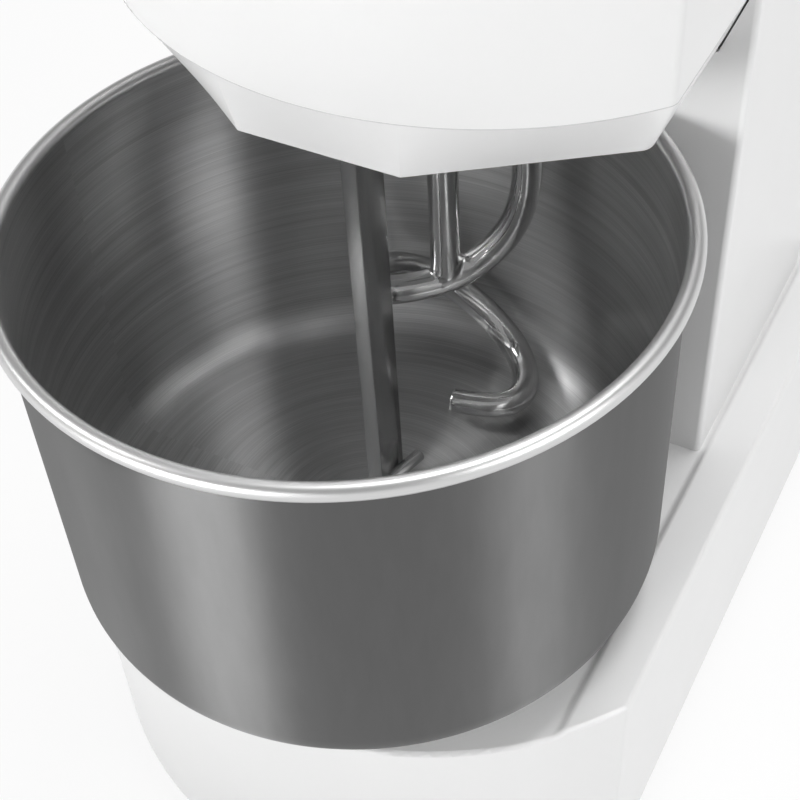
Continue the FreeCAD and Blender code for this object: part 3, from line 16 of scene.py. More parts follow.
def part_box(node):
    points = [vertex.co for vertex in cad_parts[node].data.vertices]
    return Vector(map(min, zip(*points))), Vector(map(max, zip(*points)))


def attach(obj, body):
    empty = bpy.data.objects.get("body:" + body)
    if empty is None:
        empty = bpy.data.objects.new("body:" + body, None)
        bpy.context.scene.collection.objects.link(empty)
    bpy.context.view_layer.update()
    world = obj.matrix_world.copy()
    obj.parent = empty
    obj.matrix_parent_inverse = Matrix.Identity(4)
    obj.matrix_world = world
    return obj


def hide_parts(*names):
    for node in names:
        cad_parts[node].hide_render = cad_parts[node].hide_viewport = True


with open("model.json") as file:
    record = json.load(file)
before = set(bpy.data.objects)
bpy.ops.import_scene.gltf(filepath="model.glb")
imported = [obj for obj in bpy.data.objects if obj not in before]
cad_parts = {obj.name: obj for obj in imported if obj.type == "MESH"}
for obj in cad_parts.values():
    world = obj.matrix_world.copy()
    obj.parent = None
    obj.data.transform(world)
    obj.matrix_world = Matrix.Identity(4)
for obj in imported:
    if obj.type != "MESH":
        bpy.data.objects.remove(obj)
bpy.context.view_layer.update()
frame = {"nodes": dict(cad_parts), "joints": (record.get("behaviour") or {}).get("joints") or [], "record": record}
NODES = frame["nodes"]
JOINTS = {joint["name"]: joint for joint in frame["joints"]}
BOWL_AXIS = Vector(JOINTS["bowl_turn"]["pos_m"])
HOOK_AXIS = Vector(JOINTS["hook_turn"]["pos_m"])
BOWL_CENTRE = Vector((BOWL_AXIS.x, BOWL_AXIS.y, 0))
BOWL_LOW, BOWL_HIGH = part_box("bowl")

bpy.context.scene.view_settings.view_transform = "Standard"


# camera

CAMERA_PLACE = Vector((0.2951, -0.5482, 0.8485))
CAMERA_RIGHT = Vector((0.8842, 0.4648, -0.0464))
CAMERA_DOWN = Vector((0.3079, -0.6546, -0.6905))
CAMERA_LENS = 69.57
CAMERA_SENSOR = 36
CAMERA_NEAR = 0.01


def make_camera():
    """Camera at the photo's viewpoint, from the directions of the picture's right and lower edge."""
    right = CAMERA_RIGHT.normalized()
    back = right.cross(-CAMERA_DOWN).normalized()
    up = back.cross(right)
    bpy.ops.object.camera_add()
    camera = bpy.context.object
    camera.name = "photo_camera"
    camera.data.lens = CAMERA_LENS
    camera.data.sensor_width = CAMERA_SENSOR
    camera.data.clip_start = CAMERA_NEAR
    turn = Matrix((right, up, back)).transposed().to_4x4()
    camera.matrix_world = Matrix.Translation(CAMERA_PLACE) @ turn
    bpy.context.scene.camera = camera


make_camera()


# shader building blocks

MIX_FACTOR, MIX_FIRST, MIX_SECOND = "0", "6", "7"
MIX_COLOUR = 2
RANGE_LOW, RANGE_HIGH = "3", "4"


class Sheet:
    """Adds nodes to one node tree and links them by keyword."""

    def __init__(self, tree):
        self.tree = tree

    def add(self, kind, settings=None, **inputs):
        """Adds a node; an underscore in the keyword of an input stands for a space."""
        node = self.tree.nodes.new("ShaderNode" + kind)
        for name, value in (settings or {}).items():
            setattr(node, name, value)
        for name, value in inputs.items():
            self.set(node, name.replace("_", " "), value)
        return node

    def set(self, node, name, value):
        """Links a socket to an input, given by name or number, or writes a plain value into it."""
        socket = node.inputs[int(name)] if name.isdigit() else node.inputs[name]
        if isinstance(value, bpy.types.NodeSocket):
            self.tree.links.new(value, socket)
        else:
            socket.default_value = value

    def math(self, operation, first, second=0.0):
        node = self.add("Math", {"operation": operation})
        self.set(node, "0", first)
        self.set(node, "1", second)
        return node.outputs[0]

    def share(self, first, second, part):
        """Weighs two values against each other; the first has the given part of the whole."""
        weighed = self.math("MULTIPLY", first, part)
        return self.math("ADD", weighed, self.math("MULTIPLY", second, 1.0 - part))

    def mix(self, factor, first, second):
        node = self.add("Mix", {"data_type": "RGBA"})
        self.set(node, MIX_FACTOR, factor)
        self.set(node, MIX_FIRST, first)
        self.set(node, MIX_SECOND, second)
        return node.outputs[MIX_COLOUR]

    def between(self, value, low, high):
        node = self.add("MapRange", Value=value)
        self.set(node, RANGE_LOW, low)
        self.set(node, RANGE_HIGH, high)
        return node.outputs[0]

    def noise(self, vector, scale, detail=2.0, rough=0.5):
        node = self.add("TexNoise", Vector=vector, Scale=scale, Detail=detail, Roughness=rough)
        return node.outputs["Fac"]

    def group_input(self):
        return self.tree.nodes.new("NodeGroupInput").outputs

    def group_output(self, **values):
        node = self.tree.nodes.new("NodeGroupOutput")
        for name, value in values.items():
            self.tree.links.new(value, node.inputs[name])


def new_group(name, inputs, outputs):
    """Empty node group with the given sockets, and the sheet to fill it with."""
    group = bpy.data.node_groups.new(name, "ShaderNodeTree")
    for label, kind, value in inputs:
        socket = group.interface.new_socket(label, in_out="INPUT", socket_type="NodeSocket" + kind)
        if value is not None:
            socket.default_value = value
    for label, kind in outputs:
        group.interface.new_socket(label, in_out="OUTPUT", socket_type="NodeSocket" + kind)
    return group, Sheet(group)


SMEARS_PER_DRIFT = 5.0
BROAD_PER_FINE = 0.12
STREAKS_PER_LINE = 0.13
CLOUD_SCALE = 14.0


def make_paint_skin():
    """Sprayed paint: faint orange peel, broad tone drift and a little unevenness of the gloss."""
    group, sheet = new_group(
        "paint skin",
        [("Vector", "Vector", None), ("Peel Scale", "Float", 700.0), ("Drift Scale", "Float", 9.0)],
        [("Height", "Float"), ("Tone", "Float"), ("Gloss", "Float")])
    given = sheet.group_input()
    smear_scale = sheet.math("MULTIPLY", given["Drift Scale"], SMEARS_PER_DRIFT)
    peel = sheet.noise(given["Vector"], given["Peel Scale"], detail=1.0)
    drift = sheet.noise(given["Vector"], given["Drift Scale"], detail=3.0)
    smear = sheet.noise(given["Vector"], smear_scale, detail=4.0)
    sheet.group_output(Height=peel, Tone=drift, Gloss=smear)
    return group


def make_spun_lines():
    """Lines that run round an upright axis, as spinning and brushing leave them on a wall and a floor."""
    group, sheet = new_group(
        "spun lines",
        [("Vector", "Vector", None), ("Line Scale", "Float", 900.0), ("Sweep", "Float", 3.0)],
        [("Height", "Float"), ("Shade", "Float"), ("Cloud", "Float")])
    given = sheet.group_input()
    x, y, z = sheet.add("SeparateXYZ", Vector=given["Vector"]).outputs
    squares = sheet.math("ADD", sheet.math("POWER", x, 2.0), sheet.math("POWER", y, 2.0))
    along = sheet.math("ADD", sheet.math("SQRT", squares), z)
    turn = sheet.math("MULTIPLY", sheet.math("ARCTAN2", y, x), given["Sweep"])
    broad_scale = sheet.math("MULTIPLY", given["Line Scale"], BROAD_PER_FINE)
    fine_place = sheet.add("CombineXYZ", X=sheet.math("MULTIPLY", along, given["Line Scale"]), Y=turn)
    broad_place = sheet.add("CombineXYZ", X=sheet.math("MULTIPLY", along, broad_scale), Y=turn)
    fine = sheet.noise(fine_place.outputs[0], 1.0, detail=3.0, rough=0.65)
    broad = sheet.noise(broad_place.outputs[0], 1.0)
    cloud = sheet.noise(given["Vector"], CLOUD_SCALE, detail=3.0)
    sheet.group_output(Height=fine, Shade=sheet.share(fine, broad, part=0.6), Cloud=cloud)
    return group


def make_straight_lines():
    """Brush lines along the direction where Stretch, the lines to a metre along X, Y and Z, is least."""
    group, sheet = new_group(
        "straight lines",
        [("Vector", "Vector", None), ("Stretch", "Vector", (900.0, 900.0, 12.0))],
        [("Height", "Float"), ("Shade", "Float")])
    given = sheet.group_input()
    place = sheet.add("VectorMath", {"operation": "MULTIPLY"})
    sheet.set(place, "0", given["Vector"])
    sheet.set(place, "1", given["Stretch"])
    fine = sheet.noise(place.outputs[0], 1.0, detail=3.0, rough=0.6)
    streaks = sheet.noise(place.outputs[0], STREAKS_PER_LINE)
    sheet.group_output(Height=fine, Shade=sheet.share(fine, streaks, part=0.5))
    return group


def make_grain():
    """Even fine grain with larger soft patches, for moulded plastic, rubber and cast metal."""
    group, sheet = new_group(
        "surface grain",
        [("Vector", "Vector", None), ("Grain Scale", "Float", 2200.0), ("Patch Scale", "Float", 30.0)],
        [("Height", "Float"), ("Patch", "Float")])
    given = sheet.group_input()
    cells = sheet.add("TexVoronoi", Scale=given["Grain Scale"], Vector=given["Vector"]).outputs["Distance"]
    speck = sheet.noise(given["Vector"], given["Grain Scale"])
    patch = sheet.noise(given["Vector"], given["Patch Scale"], detail=3.0)
    sheet.group_output(Height=sheet.math("MULTIPLY", cells, speck), Patch=patch)
    return group


PAINT_SKIN = make_paint_skin()
SPUN_LINES = make_spun_lines()
STRAIGHT_LINES = make_straight_lines()
GRAIN = make_grain()


# finishes, each with a dark and a light tone and with its least and greatest roughness

def colour(tone):
    """Colour of a grey level, or of shares of red, green and blue."""
    return (*tone, 1.0) if isinstance(tone, tuple) else (tone, tone, tone, 1.0)


def start_material(name, **settings):
    """New material with plain values on its shader, and the piece's own coordinates to draw on."""
    material = bpy.data.materials.new(name)
    material.use_nodes = True
    sheet = Sheet(material.node_tree)
    shader = material.node_tree.nodes["Principled BSDF"]
    for key, value in settings.items():
        shader.inputs[key.replace("_", " ")].default_value = value
    place = sheet.add("TexCoord").outputs["Object"]
    return material, sheet, shader, place


def use_group(sheet, group, vector, **values):
    """Places a node group in a material with its own values."""
    node = sheet.tree.nodes.new("ShaderNodeGroup")
    node.node_tree = group
    sheet.tree.links.new(vector, node.inputs["Vector"])
    for key, value in values.items():
        node.inputs[key.replace("_", " ")].default_value = value
    return node.outputs


def shift(sheet, place, centre):
    """Coordinates measured from a centre."""
    node = sheet.add("Mapping", Vector=place)
    node.inputs["Location"].default_value = -Vector(centre)
    return node.outputs[0]


def add_colour(sheet, shader, mask, tones):
    dark, light = tones
    sheet.set(shader, "Base Color", sheet.mix(mask, colour(dark), colour(light)))


def add_gloss(sheet, shader, mask, rough):
    sheet.set(shader, "Roughness", sheet.between(mask, *rough))


def add_bump(sheet, shader, height, strength, distance):
    bump = sheet.add("Bump", Strength=strength, Distance=distance, Height=height)
    sheet.tree.links.new(bump.outputs[0], shader.inputs["Normal"])


def add_turned_sheen(sheet, shader):
    """Lets an anisotropic highlight follow the direction in which the sheet was spun."""
    tangent = sheet.add("Tangent", {"direction_type": "RADIAL", "axis": "Z"})
    sheet.tree.links.new(tangent.outputs[0], shader.inputs["Tangent"])


def painted(name, tones, rough, coat=0.0):
    """Sprayed or plated surface with a little orange peel."""
    material, sheet, shader, place = start_material(name, Coat_Weight=coat, Coat_Roughness=0.12)
    skin = use_group(sheet, PAINT_SKIN, place)
    add_colour(sheet, shader, skin["Tone"], tones)
    add_gloss(sheet, shader, skin["Gloss"], rough)
    add_bump(sheet, shader, skin["Height"], strength=0.04, distance=0.0004)
    return material


def spun_steel(name, axis, tones, rough, lines=1500.0, depth=0.03):
    """Polished steel with turning lines round an upright axis."""
    material, sheet, shader, place = start_material(name, Metallic=1.0)
    turned = use_group(sheet, SPUN_LINES, shift(sheet, place, axis), Line_Scale=lines)
    add_colour(sheet, shader, turned["Shade"], tones)
    add_gloss(sheet, shader, turned["Cloud"], rough)
    add_bump(sheet, shader, turned["Height"], strength=depth, distance=0.0002)
    return material


def bowl_inside():
    """Brushed face of the spun sheet, with long fine lines round the bowl's axis. Its tones run far lighter than
    the outer face's, painted light that lifts the bright reflections inside.
    """
    material, sheet, shader, place = start_material(
        "bowl inside", Metallic=1.0, Anisotropic=1.0, Anisotropic_Rotation=0.25)
    centred = shift(sheet, place, BOWL_CENTRE)
    turned = use_group(sheet, SPUN_LINES, centred, Line_Scale=1500.0, Sweep=0.8)
    # lighter tones than the outer face of the same sheet: painted light
    add_colour(sheet, shader, turned["Shade"], (0.22, 0.98))
    add_gloss(sheet, shader, sheet.share(turned["Cloud"], turned["Shade"], part=0.5), (0.25, 0.39))
    add_turned_sheen(sheet, shader)
    add_bump(sheet, shader, turned["Height"], strength=0.1, distance=0.0002)
    return material


def bowl_outside_painted_shade():
    """Satin face of the spun sheet: no lines to be seen, only faint upright smears. Its tones are kept far darker
    than the inner face's, painted shade for the dark reflections on the outer wall.
    """
    material, sheet, shader, place = start_material(
        "bowl outside", Metallic=1.0, Anisotropic=0.98, Anisotropic_Rotation=0.25)
    smears = use_group(sheet, STRAIGHT_LINES, place, Stretch=(95.0, 95.0, 22.0))
    # dark tones, far below the inner face of the same sheet: painted shade of the outer wall's reflections
    add_colour(sheet, shader, smears["Shade"], (0.14, 0.23))
    add_gloss(sheet, shader, smears["Shade"], (0.4, 0.5))
    add_turned_sheen(sheet, shader)
    turned = use_group(sheet, SPUN_LINES, shift(sheet, place, BOWL_CENTRE), Line_Scale=2600.0, Sweep=2.0)
    add_bump(sheet, shader, turned["Height"], strength=0.02, distance=0.0001)
    return material


def brushed_steel(name, tones, rough, stretch, depth=0.1):
    """Steel with straight brush lines, or with an even grain where the stretch is the same all ways."""
    material, sheet, shader, place = start_material(name, Metallic=1.0)
    lines = use_group(sheet, STRAIGHT_LINES, place, Stretch=stretch)
    add_colour(sheet, shader, lines["Shade"], tones)
    add_gloss(sheet, shader, lines["Shade"], rough)
    add_bump(sheet, shader, lines["Height"], strength=depth, distance=0.0002)
    return material


def grained(name, tones, rough, scale=2200.0, metallic=0.0, depth=0.15):
    """Moulded or cast surface with a fine grain."""
    material, sheet, shader, place = start_material(name, Metallic=metallic)
    grain = use_group(sheet, GRAIN, place, Grain_Scale=scale)
    add_colour(sheet, shader, grain["Patch"], tones)
    add_gloss(sheet, shader, grain["Patch"], rough)
    add_bump(sheet, shader, grain["Height"], strength=depth, distance=0.0003)
    return material


UPRIGHT_LINES = (3000.0, 3000.0, 10.0)
EVEN_LINES = (1100.0, 1100.0, 1100.0)
ZINC = ((0.42, 0.43, 0.45), (0.52, 0.53, 0.54))
GREEN = ((0.01, 0.16, 0.03), (0.014, 0.2, 0.04))
RED = ((0.3, 0.008, 0.008), (0.36, 0.012, 0.01))
BRONZE = ((0.3, 0.17, 0.06), (0.36, 0.21, 0.08))

FINISH = {
    "white_paint": painted("white paint", (0.83, 0.87), (0.26, 0.36), coat=0.25),
    # the skirt's white is lighter than the hood's: painted light standing in for the fill from below
    "skirt_paint": painted("skirt paint", (0.91, 0.94), (0.3, 0.4), coat=0.2),
    "motor_paint": painted("motor paint", (0.018, 0.03), (0.4, 0.55)),
    "zinc_plate": painted("zinc plate", ZINC, (0.35, 0.5)),
    # outer and inner faces of one sheet, tinted apart as painted shade and painted light; the rougher satin
    # outside and the lines inside are the real finish
    "bowl_steel": bowl_outside_painted_shade(),
    "bowl_inside": bowl_inside(),
    "bowl_bead": spun_steel("bowl bead", BOWL_CENTRE, (0.62, 0.76), (0.34, 0.42), lines=1800.0, depth=0.02),
    "bar_steel": brushed_steel("bar steel", (0.48, 0.64), (0.2, 0.3), UPRIGHT_LINES, depth=0.02),
    "hook_chrome": spun_steel("hook chrome", HOOK_AXIS, (0.7, 0.82), (0.1, 0.18)),
    "machine_steel": brushed_steel("machine steel", (0.38, 0.5), (0.25, 0.4), EVEN_LINES),
    "cast_aluminium": grained("cast aluminium", (0.42, 0.5), (0.4, 0.55), scale=1400.0, metallic=1.0),
    "black_rubber": grained("black rubber", (0.012, 0.02), (0.6, 0.8), scale=1800.0),
    "dark_plastic": grained("dark plastic", (0.025, 0.035), (0.42, 0.55)),
    "grey_plastic": grained("grey plastic", (0.22, 0.26), (0.45, 0.6)),
    # pale grey for the seam strip: painted shade of the crease between hood and skirt
    "pale_gasket": grained("pale gasket", (0.58, 0.64), (0.5, 0.6)),
    "green_plastic": grained("green plastic", GREEN, (0.2, 0.3), scale=900.0, depth=0.03),
    "red_plastic": grained("red plastic", RED, (0.2, 0.3), scale=900.0, depth=0.03),
    "bronze": grained("bronze", BRONZE, (0.35, 0.5), scale=1600.0, metallic=1.0),
}


def dress_nodes():
    """Gives every part the finish of its slot, and the skirt a lighter white than the hood, as painted light for
    the fill from below.
    """
    for entry in frame["record"]["subparts"]:
        node = NODES[entry["node"]]
        node.data.materials.clear()
        node.data.materials.append(FINISH[entry["material_slot"]])
    NODES["head_skirt"].data.materials[0] = FINISH["skirt_paint"]


dress_nodes()


# modelling by hand

SAME_LEVEL = 0.0001
MERGE_SPUN = 0.000002
MERGE_SOLID = 0.00001
START_SIZE = 0.001
ROUND_STEPS = 6


def deselect():
    bpy.ops.object.select_all(action="DESELECT")


def take(piece):
    """Makes one piece the only selected one and the active one."""
    deselect()
    piece.select_set(True)
    bpy.context.view_layer.objects.active = piece


def open_piece(piece, kind="FACE"):
    """Opens a piece for editing its faces, edges or points, with nothing selected."""
    take(piece)
    bpy.ops.object.mode_set(mode="EDIT")
    bpy.ops.mesh.select_mode(type=kind)
    bpy.ops.mesh.select_all(action="DESELECT")


def close_piece():
    bpy.ops.object.mode_set(mode="OBJECT")


def pick(piece, kind, test):
    """Selects the faces, edges or points of the open piece that pass the test."""
    bpy.ops.mesh.select_all(action="DESELECT")
    mesh = bmesh.from_edit_mesh(piece.data)
    for element in getattr(mesh, kind):
        element.select_set(bool(test(element)))
    bmesh.update_edit_mesh(piece.data)


def pick_faces(piece, test):
    """Selects the faces whose middle and normal pass the test."""
    pick(piece, "faces", lambda face: test(face.calc_center_median(), face.normal))


def pick_edges(piece, test):
    """Selects the edges whose two ends pass the test."""
    pick(piece, "edges", lambda edge: test(edge.verts[0].co, edge.verts[1].co))


def pick_points(piece, test):
    """Selects the points whose place passes the test."""
    pick(piece, "verts", lambda point: test(point.co))


def modify(piece, kind, **settings):
    """Adds a modifier and applies it."""
    take(piece)
    modifier = piece.modifiers.new(kind.lower(), kind)
    for name, value in settings.items():
        setattr(modifier, name, value)
    bpy.ops.object.modifier_apply(modifier=modifier.name)


def settle(piece):
    """Moves the place, turn and scale of a piece into its mesh."""
    take(piece)
    bpy.ops.object.transform_apply(location=True, rotation=True, scale=True)


def place_at(piece, place, turn=(0.0, 0.0, 0.0)):
    piece.location = place
    piece.rotation_euler = turn
    settle(piece)


def copy_of(piece):
    """Copy of a piece with a mesh of its own."""
    twin = piece.copy()
    twin.data = piece.data.copy()
    bpy.context.collection.objects.link(twin)
    return twin


def join(pieces):
    """Joins pieces into the first of them."""
    deselect()
    for piece in pieces:
        piece.select_set(True)
    bpy.context.view_layer.objects.active = pieces[0]
    bpy.ops.object.join()
    return pieces[0]


def block(low, high):
    """Box from corner to corner, the start of a bar, tick or blade."""
    deselect()
    bpy.ops.mesh.primitive_cube_add(size=1, location=(Vector(low) + Vector(high)) / 2)
    piece = bpy.context.object
    piece.scale = Vector(high) - Vector(low)
    settle(piece)
    return piece


def disc(radius, height, sides):
    """Upright round that stands on the origin, the start of a shaft or peg."""
    deselect()
    middle = (0, 0, height / 2)
    bpy.ops.mesh.primitive_cylinder_add(vertices=sides, radius=radius, depth=height, location=middle)
    piece = bpy.context.object
    settle(piece)
    return piece


def bend(radius, height, size, start, end, count):
    """Points of an arc in a profile, about (radius, height), from one angle to another."""
    points = []
    for index in range(count + 1):
        angle = math.radians(start + (end - start) * index / count)
        points.append((radius + size * math.cos(angle), height + size * math.sin(angle)))
    return points


def spun(profile, steps):
    """One point is extruded along a profile of (radius, height) and spun round Z."""
    deselect()
    bpy.ops.mesh.primitive_plane_add(size=START_SIZE)
    piece = bpy.context.object
    open_piece(piece, "VERT")
    bpy.ops.mesh.select_all(action="SELECT")
    bpy.ops.mesh.merge(type="CENTER")
    bpy.ops.transform.translate(value=(profile[0][0], 0, profile[0][1]))
    for before, after in zip(profile, profile[1:]):
        step = (after[0] - before[0], 0, after[1] - before[1])
        bpy.ops.mesh.extrude_vertices_move(TRANSFORM_OT_translate={"value": step})
    bpy.ops.mesh.select_all(action="SELECT")
    bpy.ops.mesh.spin(steps=steps, angle=2 * math.pi, center=(0, 0, 0), axis=(0, 0, 1))
    bpy.ops.mesh.select_all(action="SELECT")
    bpy.ops.mesh.remove_doubles(threshold=MERGE_SPUN)
    bpy.ops.mesh.normals_make_consistent(inside=False)
    close_piece()
    return piece


def every_edge(first, second):
    return True


def ease(piece, width, steps, test=every_edge):
    """Bevels the edges whose two ends pass the test."""
    open_piece(piece, "EDGE")
    pick_edges(piece, test)
    bpy.ops.mesh.bevel(offset=width, segments=steps, affect="EDGES")
    close_piece()


def flutes(piece, low, high, radius, sides, lip, depth):
    """Grip grooves pressed into the faces of a turned rim, two faces wide with two left between."""
    step = 2 * math.pi / sides

    def in_groove(middle, normal):
        reach = math.hypot(middle.x, middle.y)
        turn = int(math.floor(math.atan2(middle.y, middle.x) / step + sides)) % 4
        return low < middle.z < high and reach > radius and turn < 2

    open_piece(piece)
    pick_faces(piece, in_groove)
    bpy.ops.mesh.inset(thickness=lip, depth=-depth, use_boundary=True)
    close_piece()


def cut_socket(piece, radius, depth, top):
    """Cuts a hexagon socket into the top of an upright piece on the origin."""
    deselect()
    bpy.ops.mesh.primitive_cylinder_add(vertices=6, radius=radius, depth=2 * depth, location=(0, 0, top))
    cutter = bpy.context.object
    modify(piece, "BOOLEAN", operation="DIFFERENCE", object=cutter, solver="EXACT")
    bpy.data.objects.remove(cutter)


def hand_over(piece, name, body, slot, nodes=(), angle=32, finish=None):
    """Names a finished piece, smooths it, gives it its finish and lets it ride on a body."""
    settle(piece)
    bpy.ops.object.shade_smooth_by_angle(angle=math.radians(angle))
    piece.name = name
    piece.data.name = name
    piece.data.materials.clear()
    piece.data.materials.append(finish or FINISH[slot])
    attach(piece, body)
    if nodes:
        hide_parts(*nodes)
    deselect()


# bowl

BOWL_RADIUS = 0.1576
BOWL_CORNER = 0.024
BOWL_WALL = 0.0015
BOWL_STEPS = 192
CORNER_STEPS = 12
FLOOR_RING = 0.06
WALL_RINGS = (0.4, 0.8)
BEAD_RADIUS = 0.0042
BEAD_STEPS = 30
BEAD_OVERHANG = 0.75
BEAD_PLAY = 0.00005
FACES_INWARD = -0.01
FACES_FLOOR = 0.5


def bowl_profile():
    """Underside, outer wall, bead, inner wall and floor of the sheet, as radius and height."""
    rim = BOWL_HIGH.z - BOWL_LOW.z - BEAD_RADIUS
    ring = BOWL_RADIUS - BOWL_WALL / 2 + BEAD_OVERHANG * BEAD_RADIUS - BEAD_PLAY
    inner = BOWL_RADIUS - BOWL_WALL
    corner = BOWL_RADIUS - BOWL_CORNER
    outer_turn = math.degrees(math.acos((ring - BOWL_RADIUS) / BEAD_RADIUS))
    inner_turn = math.degrees(math.acos((ring - inner) / BEAD_RADIUS))
    profile = [(0.0, 0.0), (FLOOR_RING, 0.0)]
    profile += bend(corner, BOWL_CORNER, BOWL_CORNER, -90, 0, CORNER_STEPS)
    profile += [(BOWL_RADIUS, rim * share) for share in WALL_RINGS]
    profile += bend(ring, rim, BEAD_RADIUS, 180 + outer_turn, 540 + inner_turn, BEAD_STEPS)
    profile += [(inner, rim * share) for share in reversed(WALL_RINGS)]
    profile += bend(corner, BOWL_CORNER, BOWL_CORNER - BOWL_WALL, 0, -90, CORNER_STEPS)
    profile += [(FLOOR_RING, BOWL_WALL), (0.0, BOWL_WALL)]
    return profile


def make_bowl():
    """Spun sheet with a rounded bottom corner and a rolled bead round the rim."""
    bowl = spun(bowl_profile(), BOWL_STEPS)
    place_at(bowl, (BOWL_AXIS.x, BOWL_AXIS.y, BOWL_LOW.z))
    hand_over(bowl, "bowl_piece", "bowl", "bowl_steel", ["bowl"])
    bead_low = BOWL_HIGH.z - 2 * BEAD_RADIUS

    def looks_in(middle, normal):
        outward = (middle - BOWL_CENTRE).to_2d().normalized().dot(normal.to_2d())
        return middle.z < bead_low and (outward < FACES_INWARD or normal.z > FACES_FLOOR)

    def in_bead(middle, normal):
        return middle.z >= bead_low

    open_piece(bowl)
    for index, finish, test in ((1, "bowl_inside", looks_in), (2, "bowl_bead", in_bead)):
        bowl.data.materials.append(FINISH[finish])
        bowl.active_material_index = index
        pick_faces(bowl, test)
        bpy.ops.object.material_slot_assign()
    close_piece()


# spiral hook

HOOK_REACH = 0.0478
HOOK_ROD = 0.0081
HOOK_SHAFT = 0.0083
HOOK_SHAFT_SIDES = 64
HOOK_TOP_GAP = 0.003
HOOK_VOXEL = 0.001
TIP_SHARES = (0.86, 0.9, 0.95, 0.98)
WELD_RADIUS = 0.0042
WELD_STRETCH = (0.9, 0.9, 1.3)
WELD_OFFSET = (0.0068, 0.0042, 0.0105)
FILLET_OFFSET = Vector((0.004, 0.002, 0.008))
FILLET_REACH = 0.018

# each point of the rod's course: share of the reach, degrees round the axis, share of the drop to its tip
HOOK_COURSE = [
    (0.00, 0, 0.000), (0.45, 37, 0.000), (0.89, 39, 0.068), (0.97, 40, 0.258), (0.86, 38, 0.415),
    (0.59, 38, 0.515), (0.14, 28, 0.598), (0.33, -134, 0.603), (0.77, -137, 0.603), (1.01, -162, 0.628),
    (1.00, 164, 0.682), (0.92, 130, 0.766), (0.88, 99, 0.866), (0.90, 66, 0.956), (0.95, 36, 1.000),
    (1.03, 2, 1.000), (0.83, -19, 1.000), (0.42, -60, 1.000),
]
HOOK_CROSSING = 6


def hook_points(bottom):
    """Points of the rod's course, from the shaft below the rim down to the given height."""
    top = BOWL_HIGH.z - BEAD_RADIUS - HOOK_TOP_GAP
    points = []
    for reach, turn, drop in HOOK_COURSE:
        angle = math.radians(turn)
        points.append(Vector((HOOK_AXIS.x + reach * HOOK_REACH * math.cos(angle),
                              HOOK_AXIS.y + reach * HOOK_REACH * math.sin(angle),
                              top + drop * (bottom - top))))
    return points


def hook_rod(points):
    """Round rod bent along the points, a little thinner towards its tip."""
    deselect()
    bpy.ops.curve.primitive_nurbs_path_add()
    rod = bpy.context.object
    course = rod.data.splines[0]
    course.points.add(len(points) - len(course.points))
    for point, place in zip(course.points, points):
        point.co = (*place, 1.0)
    for point, share in zip(reversed(course.points), TIP_SHARES):
        point.radius = share
    course.order_u = 4
    course.use_endpoint_u = True
    rod.data.resolution_u = 14
    rod.data.bevel_depth = HOOK_ROD
    rod.data.bevel_resolution = 8
    rod.data.use_fill_caps = True
    bpy.ops.object.convert(target="MESH")
    return rod


def hook_weld(crossing):
    """Bead of weld in the corner between rod and shaft."""
    side, back, lift = WELD_OFFSET
    place = (HOOK_AXIS.x + side, HOOK_AXIS.y + back, crossing.z + lift)
    deselect()
    bpy.ops.mesh.primitive_uv_sphere_add(segments=32, ring_count=16, radius=WELD_RADIUS, location=place)
    weld = bpy.context.object
    weld.scale = WELD_STRETCH
    settle(weld)
    return weld


def make_hook():
    """Bent rod and straight shaft, run together by a weld where they meet."""
    low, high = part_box("spiral_hook")
    points = hook_points(low.z + HOOK_ROD)
    crossing = points[HOOK_CROSSING]
    rod = hook_rod(points)
    shaft = disc(HOOK_SHAFT, high.z - crossing.z, HOOK_SHAFT_SIDES)
    place_at(shaft, (HOOK_AXIS.x, HOOK_AXIS.y, crossing.z))
    hook = join([rod, shaft, hook_weld(crossing)])
    settle(hook)
    modify(hook, "REMESH", mode="VOXEL", voxel_size=HOOK_VOXEL)
    modify(hook, "SMOOTH", factor=0.5, iterations=6)
    open_piece(hook, "VERT")
    pick_points(hook, lambda place: (place - crossing - FILLET_OFFSET).length < FILLET_REACH)
    bpy.ops.mesh.vertices_smooth(factor=0.5, repeat=14)
    close_piece()
    hand_over(hook, "hook_piece", "hook", "hook_chrome", ["spiral_hook"], angle=60)


# breaker bar

BAR_EASE = 0.0009
BAR_FOOT_EASE = 0.0006
UPRIGHT_RISE = 0.002
PEG_RADIUS = 0.0036
PEG_LENGTH = 0.024
PEG_SIDES = 40
PEG_EASE = 0.0008
PEG_OUT = 0.001
PEG_FORWARD = 0.017
PEG_TURN = math.radians(-15)


def make_bar():
    """Straight bar with eased edges and a round peg welded along its foot."""
    low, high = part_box("breaker_bar")
    foot = low.z + SAME_LEVEL
    bar = block(low, high)
    ease(bar, BAR_EASE, steps=3, test=lambda first, second: abs(first.z - second.z) > UPRIGHT_RISE)
    ease(bar, BAR_FOOT_EASE, steps=2, test=lambda first, second: first.z < foot and second.z < foot)
    peg = disc(PEG_RADIUS, PEG_LENGTH, PEG_SIDES)
    ease(peg, PEG_EASE, steps=3, test=lambda first, second: abs(first.z - second.z) < SAME_LEVEL)
    peg_end = (high.x + PEG_OUT, high.y - PEG_FORWARD, low.z + PEG_RADIUS)
    place_at(peg, peg_end, (-math.pi / 2, 0, PEG_TURN))
    modify(bar, "BOOLEAN", operation="UNION", object=peg, solver="EXACT")
    bpy.data.objects.remove(peg)
    hand_over(bar, "bar_piece", "head", "bar_steel", ["breaker_bar"], angle=25)


# head seam

SEAM_THICKNESS = 0.0004
SEAM_SPREAD = 1.0006
FACES_UP = 0.99


